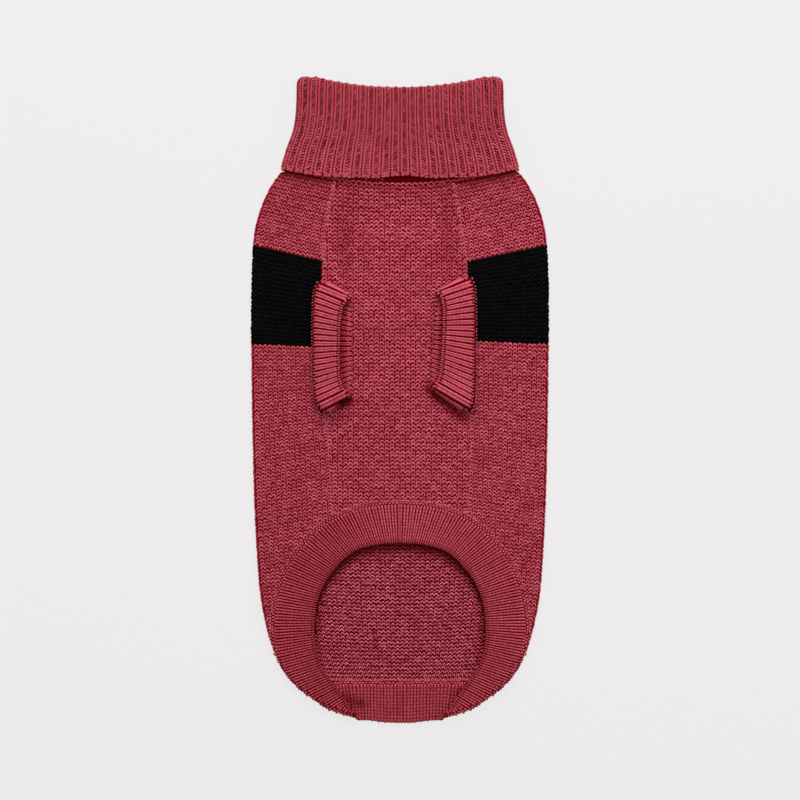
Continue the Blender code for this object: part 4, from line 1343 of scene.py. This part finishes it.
class SweaterColours(bpy.types.PropertyGroup):
    # red and rib_red are painted highlight, the yarn where it catches the light; deep_red and rib_deep_red
    # are painted shade, the yarn where it meets the cloth
    red: colour_property("Red yarn", "The yarn where it catches the light", (181, 82, 96))
    deep_red: colour_property("Deep red", "The yarn where it meets the cloth", (158, 30, 48))
    rib_red: colour_property("Red of the ribs", "The ribs' yarn where it catches the light", (184, 75, 88))
    rib_deep_red: colour_property("Deep red of the ribs", "The ribs' yarn near the cloth", (148, 6, 26))
    # painted shade: the cloth seen between stitches and ribs and inside the garment, drawn darker than the
    # yarn
    rib_groove_red: colour_property("Groove red of the ribs", "Cloth seen between the ribs", (108, 0, 14))
    groove_red: colour_property("Groove red", "Cloth seen between the stitches", (118, 10, 25))
    inside_red: colour_property("Inside red", "Cloth seen on the inside of the garment", (92, 3, 14))
    black: colour_property("Black yarn", "The stripe's yarn", (6, 5, 6))
    table: colour_property("Table", "The surface that the sweater lies on", (238, 236, 236))
    gloss: FloatProperty(
        name="Gloss", description="How much light the yarn's fibres mirror", default=0.0, min=0.0
    )


# --------------------------------------------------------------------------------------- the pieces
def row_cells(first, last):
    return np.arange(first, last) + 0.5


def wale_grid(left, right, rows):
    return np.meshgrid(np.arange(math.floor(left), math.ceil(right)) + 0.5, rows)


def halved(point):
    """The same surface with two columns to each rib."""
    return lambda u, v: point(u / 2, v)


class SWEATER_OT_back_panel(bpy.types.Operator):
    """Knit the back panel, which lies on the table and turns up round both sides, with its black stripe"""

    bl_idname = "sweater.back_panel"
    bl_label = "Back panel"

    def execute(self, context):
        last = (NECK_SEAM - REAR_SEAM) / BACK_COURSE
        rows = np.concatenate([[-NECK_LAP / BACK_COURSE], np.arange(1.0, math.floor(last)), [last]])
        u = self.columns(rows)
        v = np.repeat(rows[:, None], u.shape[1], axis=1)
        start, end = STRIPE_ROWS
        marks = ((rows[:-1] >= start) & (rows[:-1] < end)).astype(int)
        cloths = ("red_cloth", "black_cloth", "inside_cloth")
        cloth = panel_cloth("back_cloth", back_knit, u, v, cloths, marks)
        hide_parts("back_panel")

        u, v = wale_grid(-BACK_WALES - SIDE_WALES[-1], BACK_WALES + SIDE_WALES[1], row_cells(1, len(rows)))
        black = (v > start) & (v < end)
        past = np.where(black, BLACK_PAST, RED_PAST)
        around, y = body_round(u, v)
        kept = (np.abs(around) < back_end(np.sign(u), y) + past) & (y > REAR_SEAM - past)
        u, v, black = u[kept], v[kept], black[kept]
        cells = cells_on(back_knit, u, v, STITCH_LIFT, outwards=-1.0, shade=BACK_TONE)
        cells = cells.shaded(lambda x, y: np.where(cells.place[:, 2] > BODY_CENTRE, top_shade(x, y), 1.0))
        turned = np.abs(u) > BACK_WALES - TURN_WALES
        under = ~black & ~turned
        for name, keep, form, yarn in (
            ("left_side_stitches", ~black & turned & (u < 0), ARCH, "red_yarn"),
            ("right_side_stitches", ~black & turned & (u > 0), ARCH, "red_yarn"),
            ("shoulder_stitches", under & (v < start), PLAIN_ARCH, "red_yarn"),
            ("back_stitches", under & (v > end) & (v < RUMP_ROW), PLAIN_ARCH, "red_yarn"),
            ("rump_stitches", under & (v > RUMP_ROW), PLAIN_ARCH, "red_yarn"),
            ("stripe_stitches", black, ARCH, "black_yarn"),
        ):
            knit_piece(name, cells.where(keep), form, yarn, 3, 1.4)
        self.inside(u, v)
        return {"FINISHED"}

    def columns(self, rows):
        """Wales of the cloth's columns in each row, closer together where the sides turn up."""
        turns = [fold + side * TURN_WALES for fold in (-BACK_WALES, BACK_WALES) for side in (-1, 1)]
        steps = np.arange(BACK_COLUMNS[-1] + 1)
        ends = zip(self.row_end(-1, rows), self.row_end(1, rows))
        return np.array([np.interp(steps, BACK_COLUMNS, (left, *turns, right)) for left, right in ends])

    def row_end(self, side, rows):
        """Wale at which each row ends on one side, found by halving."""
        low = np.zeros_like(rows)
        high = np.full_like(rows, BACK_WALES + SIDE_WALES[side] + 3.0)
        for _ in range(24):
            middle = (low + high) / 2
            around, y = body_round(side * middle, rows)
            inside = np.abs(around) < back_end(side, y)
            low, high = np.where(inside, middle, low), np.where(inside, high, middle)
        return side * low

    def inside(self, u, v):
        """The wrong side of the knit, where the rear opening shows it."""
        cells = cells_on(back_knit, u, v, STITCH_LIFT, shade=INSIDE_TONE)
        x, y, z = cells.place.T
        seen = (np.abs(x) < REAR_HALF_WIDTH + REAR_MARGIN) & (y < arch_edge(x) + REAR_MARGIN)
        cells = cells.where(seen & (z < BODY_CENTRE)).shaded(arch_shade)
        return knit_piece("inside_stitches", cells, RIPPLE, "red_yarn", 5, 1.2)


class SWEATER_OT_belly_panel(bpy.types.Operator):
    """Knit the belly panel, between the two belly seams"""

    bl_idname = "sweater.belly_panel"
    bl_label = "Belly panel"

    def execute(self, context):
        share = np.linspace(0.0, 1.0, BELLY_COLUMNS)
        x, y = [], []
        for row in np.linspace(NECK_SEAM + NECK_LAP, BELLY_CORNER, BELLY_ROWS):
            left, right = (self.corner(side, row) for side in (-1, 1))
            line = left + (right - left) * share
            arch = 1.0 - smooth_step(row, BELLY_CORNER, BELLY_CORNER + ARCH_FADE)
            drop = arch_seam(line) - arch_seam(left) - (arch_seam(right) - arch_seam(left)) * share
            x.append(line)
            y.append(row + neck_rise(line) * neck_share(row) + drop * arch)

        def surface(a, b):
            return np.stack([a, b, top_height(a, b)], axis=-1)

        cloth = panel_cloth("belly_cloth", surface, np.array(x), np.array(y), ["red_cloth"])
        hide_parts("belly_panel")

        u, v = wale_grid(*BELLY_WALES, row_cells(1, BELLY_ROWS))
        x, y, _ = np.moveaxis(belly_knit(u, v), -1, 0)
        kept = (x > belly_edge(-1, y, -1) + 0.2) & (x < belly_edge(1, y, -1) - 0.2)
        kept = kept & (y > arch_seam(x) - RED_PAST)
        cells = cells_on(belly_knit, u[kept], v[kept], STITCH_LIFT, shade=BELLY_TONE).shaded(top_shade)
        sewn = [
            knit_piece("belly_stitches", cells, ARCH, "red_yarn", 11, 1.4),
            knit_piece("belly_seam_stitches", self.seam_cells(), ARCH, "red_yarn", 13, 1.4),
        ]
        return {"FINISHED"}

    def seam_cells(self):
        """The column of stitches that links the belly panel to the back panel, above and below each cuff."""
        found = []
        for cuff in CUFFS.values():

            def point(u, v, side=cuff.side):
                row_y = NECK_SEAM - v * COURSE
                x = seam_x(side, row_y) + u * SEAM_WALE
                y = row_y + neck_rise(x) * neck_share(row_y)
                return np.stack([x, y, top_height(x, y)], axis=-1)

            v = row_cells(1, BELLY_ROWS)
            x, y, _ = point(0.0, v).T
            kept = (y > arch_seam(x) + 0.4) & ((y > STRIPE_END) | (y < cuff.root_bottom + 1.0))
            v, y = v[kept], y[kept]
            found.append(cells_on(point, 0.0 * v, v, 0.15 + 0.4 * smooth_step(y, 60.0, 120.0)))
        return joined(found)

    def corner(self, side, row):
        """X of a belly seam where the row that passes through y in the middle crosses it."""
        y = row
        for _ in range(6):
            x = float(belly_edge(side, y, -1))
            y = row + float(neck_rise(x) * neck_share(row))
        return x


class SWEATER_OT_hem_band(bpy.types.Operator):
    """Knit the ribbed band round the slanting rear opening"""

    bl_idname = "sweater.hem_band"
    bl_label = "Rear band"

    def execute(self, context):
        u = np.arange(-HEM_HALF, HEM_HALF, 0.25)
        rings = wall_rings(hem_knit, u, np.linspace(-0.2, HEM_ROWS, 16), hem_normals, hem_relief)
        cloth = ring_cloth("hem_cloth", rings, "rib_cloth")
        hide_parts("hem_band")

        u, v = np.meshgrid(np.arange(-HEM_HALF, HEM_HALF), row_cells(1, HEM_ROWS))
        upright = smooth_step(np.abs(hem_normals(u, v)[..., 2]), 0.3, 0.9)
        lift = STITCH_LIFT - HEM_TURN_SINK + (HEM_RIB + HEM_TURN_SINK) * upright
        # painted shade: the ribs darker towards the loose edge, where the band rounds over
        painted_edge_shade = 0.97 - 0.3 * smooth_step(v, HEM_ROWS - 1.6, HEM_ROWS)
        legs = cells_on(hem_knit, u, v, lift, -1.0, pitch=HEM_PITCH, shade=painted_edge_shade).shaded(band_shade)
        legs.size[:, 1] = np.minimum(legs.size[:, 1], HEM_LONGEST)
        inner = cells_on(hem_knit, u, v, STITCH_LIFT + 0.1, pitch=HEM_PITCH, shade=HEM_INSIDE_TONE)
        inner = inner.shaded(hollow_shade)

        half_ribs = halved(hem_knit)
        u, v = np.meshgrid(row_cells(-2 * HEM_HALF, 2 * HEM_HALF), HEM_KNOT_ROWS)
        u = u + np.where(v == HEM_KNOT_ROWS[1], 0.5, 0.0)
        upright = smooth_step(surface_normals(half_ribs, u, v, 0.04, 0.02)[..., 2], 0.3, 0.9)
        knots = cells_on(half_ribs, u, v, STITCH_LIFT - 0.7 + 1.1 * upright, -1.0, pitch=(2.0, 1.8))
        inner_knots = cells_on(half_ribs, u, v, STITCH_LIFT + 0.2, pitch=(1.8, 1.8))
        pieces = [
            knit_piece("hem_ribs", legs, rib_legs(0.86, 0.66), "rib_yarn", 17, 0.3),
            knit_piece("hem_knots", knots, KNOT, "rib_yarn", 19, 0.7),
            knit_piece("hem_inside_ribs", self.seen(inner), rib_legs(0.9, 0.9), "rib_yarn", 23, 0.3),
            knit_piece("hem_inside_knots", self.seen(inner_knots), KNOT, "rib_yarn", 25),
        ]
        return {"FINISHED"}

    def seen(self, cells):
        """The part of the band's wrong side that the rear opening shows."""
        x, _, z = cells.place.T
        return cells.where((z < BODY_CENTRE + SEEN_HEIGHT) & (np.abs(x) < SEEN_HALF_WIDTH))


class SWEATER_OT_roll_neck(bpy.types.Operator):
    """Knit the ribbed neck tube, folded down over itself"""

    bl_idname = "sweater.roll_neck"
    bl_label = "Roll neck"

    def execute(self, context):
        cloth = ring_cloth("collar_cloth", self.rings(), "inside_cloth")
        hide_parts("collar")

        u, v = np.meshgrid(row_cells(0, COLLAR_ROUND), row_cells(1, COLLAR_ROWS + FOLD_ROWS))
        _, angle = collar_round(u)
        flattened = 1.0 - 0.45 * smooth_step(v, COLLAR_ROWS - 1.5, COLLAR_ROWS + 1.0)
        lift = STITCH_LIFT + COLLAR_RIB * rib_share(np.cos(angle)) * flattened
        tone = 0.82 - 0.04 * smooth_step(v, 4.0, 16.0)
        legs = cells_on(collar_knit, u, v, lift, -1.0, pitch=COLLAR_PITCH, shade=tone)
        tone = 0.98 - 0.06 * smooth_step(v, 3.0, 20.0)
        tone = np.where(np.abs(collar_round(u - 0.5)[0]) < COLLAR_JOIN, JOIN_TONE, tone)
        tone = tone * np.random.default_rng(37).uniform(*GROOVE_TONES, u.shape)
        lift = STITCH_LIFT + GROOVE_LIFT
        grooves = cells_on(collar_knit, u - 0.5, v, lift, -1.0, pitch=COLLAR_PITCH, shade=tone)
        # painted shade: the dark yarns in the slits, darker away from the loose edge
        lift = STITCH_LIFT + SLIT_SHADE_LIFT
        tone = 0.34 - 0.24 * smooth_step(v, 1.0, 8.0)
        slit_shades = cells_on(collar_knit, u - 0.5, v + 0.5, lift, -1.0, pitch=COLLAR_PITCH, shade=tone)
        left = grooves.place[:, 0] < 0

        u = np.arange(COLLAR_ROUND)
        loops = cells_on(collar_knit, u, 1.0, STITCH_LIFT + 0.35, -1.0, pitch=(3.6, 1.8), shade=0.86)
        u, v = np.meshgrid(row_cells(0, 2 * COLLAR_ROUND), (0.2, 0.85))
        edge = cells_on(halved(collar_knit), u, v, STITCH_LIFT + 0.3, -1.0, pitch=(1.5, 1.5), shade=0.84)
        u = row_cells(0, NECK_WALES)
        chain = cells_on(neck_knit, u, 0.15, STITCH_LIFT + 0.6, shade=0.95)
        foot = cells_on(neck_knit, *np.meshgrid(u, (-0.9, -1.9)), STITCH_LIFT).shaded(foot_shade)
        pieces = [
            knit_piece("collar_ribs", legs, rib_legs(0.9, 0.88, 0.72), "rib_yarn", 29, 0.3),
            knit_piece("collar_left_grooves", grooves.where(left), SLANTED, "rib_yarn", 31, 0.6),
            knit_piece("collar_right_grooves", grooves.where(~left), SLANTED_BACK, "rib_yarn", 32, 0.6),
            knit_piece("collar_left_slits", slit_shades.where(left), SLIT_SHADE, "rib_yarn", 27, 1.3),
            knit_piece("collar_right_slits", slit_shades.where(~left), SLIT_SHADE_BACK, "rib_yarn", 28, 1.3),
            knit_piece("collar_edge_loops", loops, ARCH, "rib_yarn", 33),
            knit_piece("collar_edge", edge, KNOT, "rib_yarn", 34),
            knit_piece("neck_chain", chain, RIPPLE, "rib_yarn", 35),
            knit_piece("neck_foot", foot, ARCH, "rib_yarn", 36),
        ]
        return {"FINISHED"}

    def rings(self):
        """Rings up between the neck's two layers and down again, round the loose edge, up the ribbed face,
        over the fold and down inside the neck."""
        u = np.arange(0.0, COLLAR_ROUND, 0.25)
        share, angle = collar_round(u)
        seam, top, edge = collar_lines(share)
        middle = (COLLAR_INNER + COLLAR_OUTER) / 2
        face = COLLAR_OUTER - COLLAR_RIB
        wave = COLLAR_RIB * rib_wave(u + 0.5) * rib_share(np.cos(angle))
        parts = np.linspace(0.0, 1.0, 8)
        rings = [(COLLAR_INNER + COLLAR_WALL, seam + (top - seam) * part) for part in parts]
        rings.append((middle, top + COLLAR_GAP / 2))
        rings += [(COLLAR_OUTER - COLLAR_WALL, edge + (top - edge) * part) for part in parts[::-1]]
        rings.append((face - 0.5 + 0.5 * wave, edge - 0.2))
        rings += [(face + wave, edge + (top - edge) * part) for part in np.linspace(0.02, 1.0, 24)]
        bow = COLLAR_TURN - COLLAR_RIB + wave
        for turn in parts[1:-1] * math.pi:
            rings.append((middle + bow * math.cos(turn), top + bow * math.sin(turn)))
        rings += [(COLLAR_INNER + COLLAR_RIB, seam + (top - seam) * part) for part in parts[::-1]]
        return np.array([collar_point(share, angle, depth, y) for depth, y in rings])


class SWEATER_OT_leg_cuffs(bpy.types.Operator):
    """Knit the two ribbed leg cuffs, lying over towards the middle"""

    bl_idname = "sweater.leg_cuffs"
    bl_label = "Leg cuffs"

    def execute(self, context):
        for name, cuff in CUFFS.items():
            self.knit(name, cuff_knit(cuff), -cuff.side)
        return {"FINISHED"}

    def knit(self, name, point, out):
        """One cuff. The normals of its surface point outwards where out is 1, inwards where it is -1."""

        def normals_at(u, v):
            return surface_normals(point, u, np.clip(v, 0.03, CUFF_ROWS - 0.03), 0.25, 0.02) * out

        u = np.arange(0.0, CUFF_ROUND, 0.25)
        rings = wall_rings(point, u, np.linspace(0.02, CUFF_ROWS, 12), normals_at, cuff_relief)
        cloth = ring_cloth(name + "_cloth", rings, "inside_cloth")
        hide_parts(name)

        u, v = np.meshgrid(np.arange(0.0, CUFF_ROUND), row_cells(1, CUFF_ROWS))
        lift = STITCH_LIFT + CUFF_RIB * rib_share(normals_at(u, v)[..., 2])
        between = (v > 3.2) & (v < CUFF_ROWS - 1.0)
        legs = cells_on(point, u, v, lift, -out, pitch=CUFF_PITCH).where(between.ravel()).shaded(hollow_shade)
        # painted shade: the ribs inside the tube darker the further they lie from the mouth
        painted_tube_shade = 0.6 + 0.45 * smooth_step(v, 0.72 * CUFF_ROWS, CUFF_ROWS)
        inner = cells_on(point, u, v, STITCH_LIFT, out, pitch=CUFF_PITCH, shade=painted_tube_shade).shaded(hollow_shade)
        u = np.arange(0.0, 2 * CUFF_ROUND)
        knots = [
            cells_on(halved(point), u + shift, row, STITCH_LIFT + raised, side, True, pitch)
            for shift, row, raised, side, pitch in (
                (0.0, 0.8, 0.5, -out, (2.2, 1.9)),
                (0.5, 2.5, 0.5, -out, (2.2, 1.9)),
                (0.5, CUFF_ROWS - 0.4, 0.4, -out, (2.0, 1.7)),
                (0.5, CUFF_ROWS - 1.0, 0.2, out, (2.0, 1.7)),
            )
        ]
        pieces = [
            knit_piece(name + "_knots", joined(knots).shaded(hollow_shade), KNOT, "rib_yarn", 43),
            knit_piece(name + "_ribs", legs, rib_legs(0.74, 0.78), "rib_yarn", 37, 0.3),
            knit_piece(name + "_inside_ribs", inner, rib_legs(0.62, 0.6), "rib_yarn", 41, 0.3),
        ]


class SWEATER_OT_stage(bpy.types.Operator):
    """Set the pale table, the soft lights and the camera that looks straight down"""

    bl_idname = "sweater.stage"
    bl_label = "Table, lights and camera"

    def execute(self, context):
        self.table(context)
        for name, place, size, power in (
            ("window", (0.0, 1.2, 0.85), 0.9, 24.0),
            ("left_fill", (-1.2, 0.2, 1.1), 1.0, 2.0),
            ("right_fill", (1.2, 0.1, 1.1), 1.0, 6.0),
        ):
            lamp = bpy.data.lights.new(name, "AREA")
            lamp.energy, lamp.size = power, size
            light = bpy.data.objects.new(name, lamp)
            light.location = place
            light.rotation_euler = (-Vector(place)).to_track_quat("-Z", "Y").to_euler()
            context.scene.collection.objects.link(light)

        world = bpy.data.worlds.new("soft_room")
        world.use_nodes = True
        background = world.node_tree.nodes["Background"].inputs
        background["Color"].default_value = (1.0, 1.0, 1.0, 1.0)
        background["Strength"].default_value = 0.38
        context.scene.world = world
        context.scene.view_settings.view_transform = "Standard"

        sizes = context.scene.sweater_sizes
        lens = bpy.data.cameras.new("camera")
        lens.lens = lens.sensor_width * sizes.camera_height / sizes.camera_span
        lens.clip_end = 10.0
        camera = bpy.data.objects.new("camera", lens)
        camera.location = (0.0, 0.0, sizes.camera_height)
        context.scene.collection.objects.link(camera)
        context.scene.camera = camera
        return {"FINISHED"}

    def table(self, context):
        """A wide plain table just under the sweater, which glows a little so that it stays pale all over."""
        mesh = bpy.data.meshes.new("table")
        reach = TABLE_REACH
        corners = [(-reach, -reach), (reach, -reach), (reach, reach), (-reach, reach)]
        mesh.from_pydata([(x, y, -TABLE_DROP) for x, y in corners], [], [(0, 1, 2, 3)])
        table = bpy.data.objects.new("table", mesh)
        context.scene.collection.objects.link(table)
        material, nodes = new_material("table")
        glow = {"Emission Color": [*context.scene.sweater_colours.table, 1.0], "Emission Strength": 0.905}
        finish_material(nodes, {"Base Color": [0.06, 0.06, 0.06, 1.0], "Roughness": 1.0, **glow})
        mesh.materials.append(material)


STEPS = (
    SWEATER_OT_back_panel,
    SWEATER_OT_belly_panel,
    SWEATER_OT_hem_band,
    SWEATER_OT_roll_neck,
    SWEATER_OT_leg_cuffs,
    SWEATER_OT_stage,
)


class SWEATER_PT_panel(bpy.types.Panel):
    bl_idname = "SWEATER_PT_panel"
    bl_label = "Dog sweater"
    bl_space_type = "VIEW_3D"
    bl_region_type = "UI"
    bl_category = "Sweater"

    def draw(self, context):
        for group in (context.scene.sweater_sizes, context.scene.sweater_colours):
            for name in group.bl_rna.properties.keys():
                if name not in {"rna_type", "name"}:
                    self.layout.prop(group, name)
        for step in STEPS:
            self.layout.operator(step.bl_idname)


CLASSES = (SweaterSizes, SweaterColours, *STEPS, SWEATER_PT_panel)


def register():
    for kind in CLASSES:
        bpy.utils.register_class(kind)
    bpy.types.Scene.sweater_sizes = PointerProperty(type=SweaterSizes)
    bpy.types.Scene.sweater_colours = PointerProperty(type=SweaterColours)


def unregister():
    del bpy.types.Scene.sweater_colours
    del bpy.types.Scene.sweater_sizes
    for kind in reversed(CLASSES):
        bpy.utils.unregister_class(kind)


def main():
    register()
    for step in STEPS:
        group, name = step.bl_idname.split(".")
        getattr(getattr(bpy.ops, group), name)()


if __name__ == "__main__":
    main()
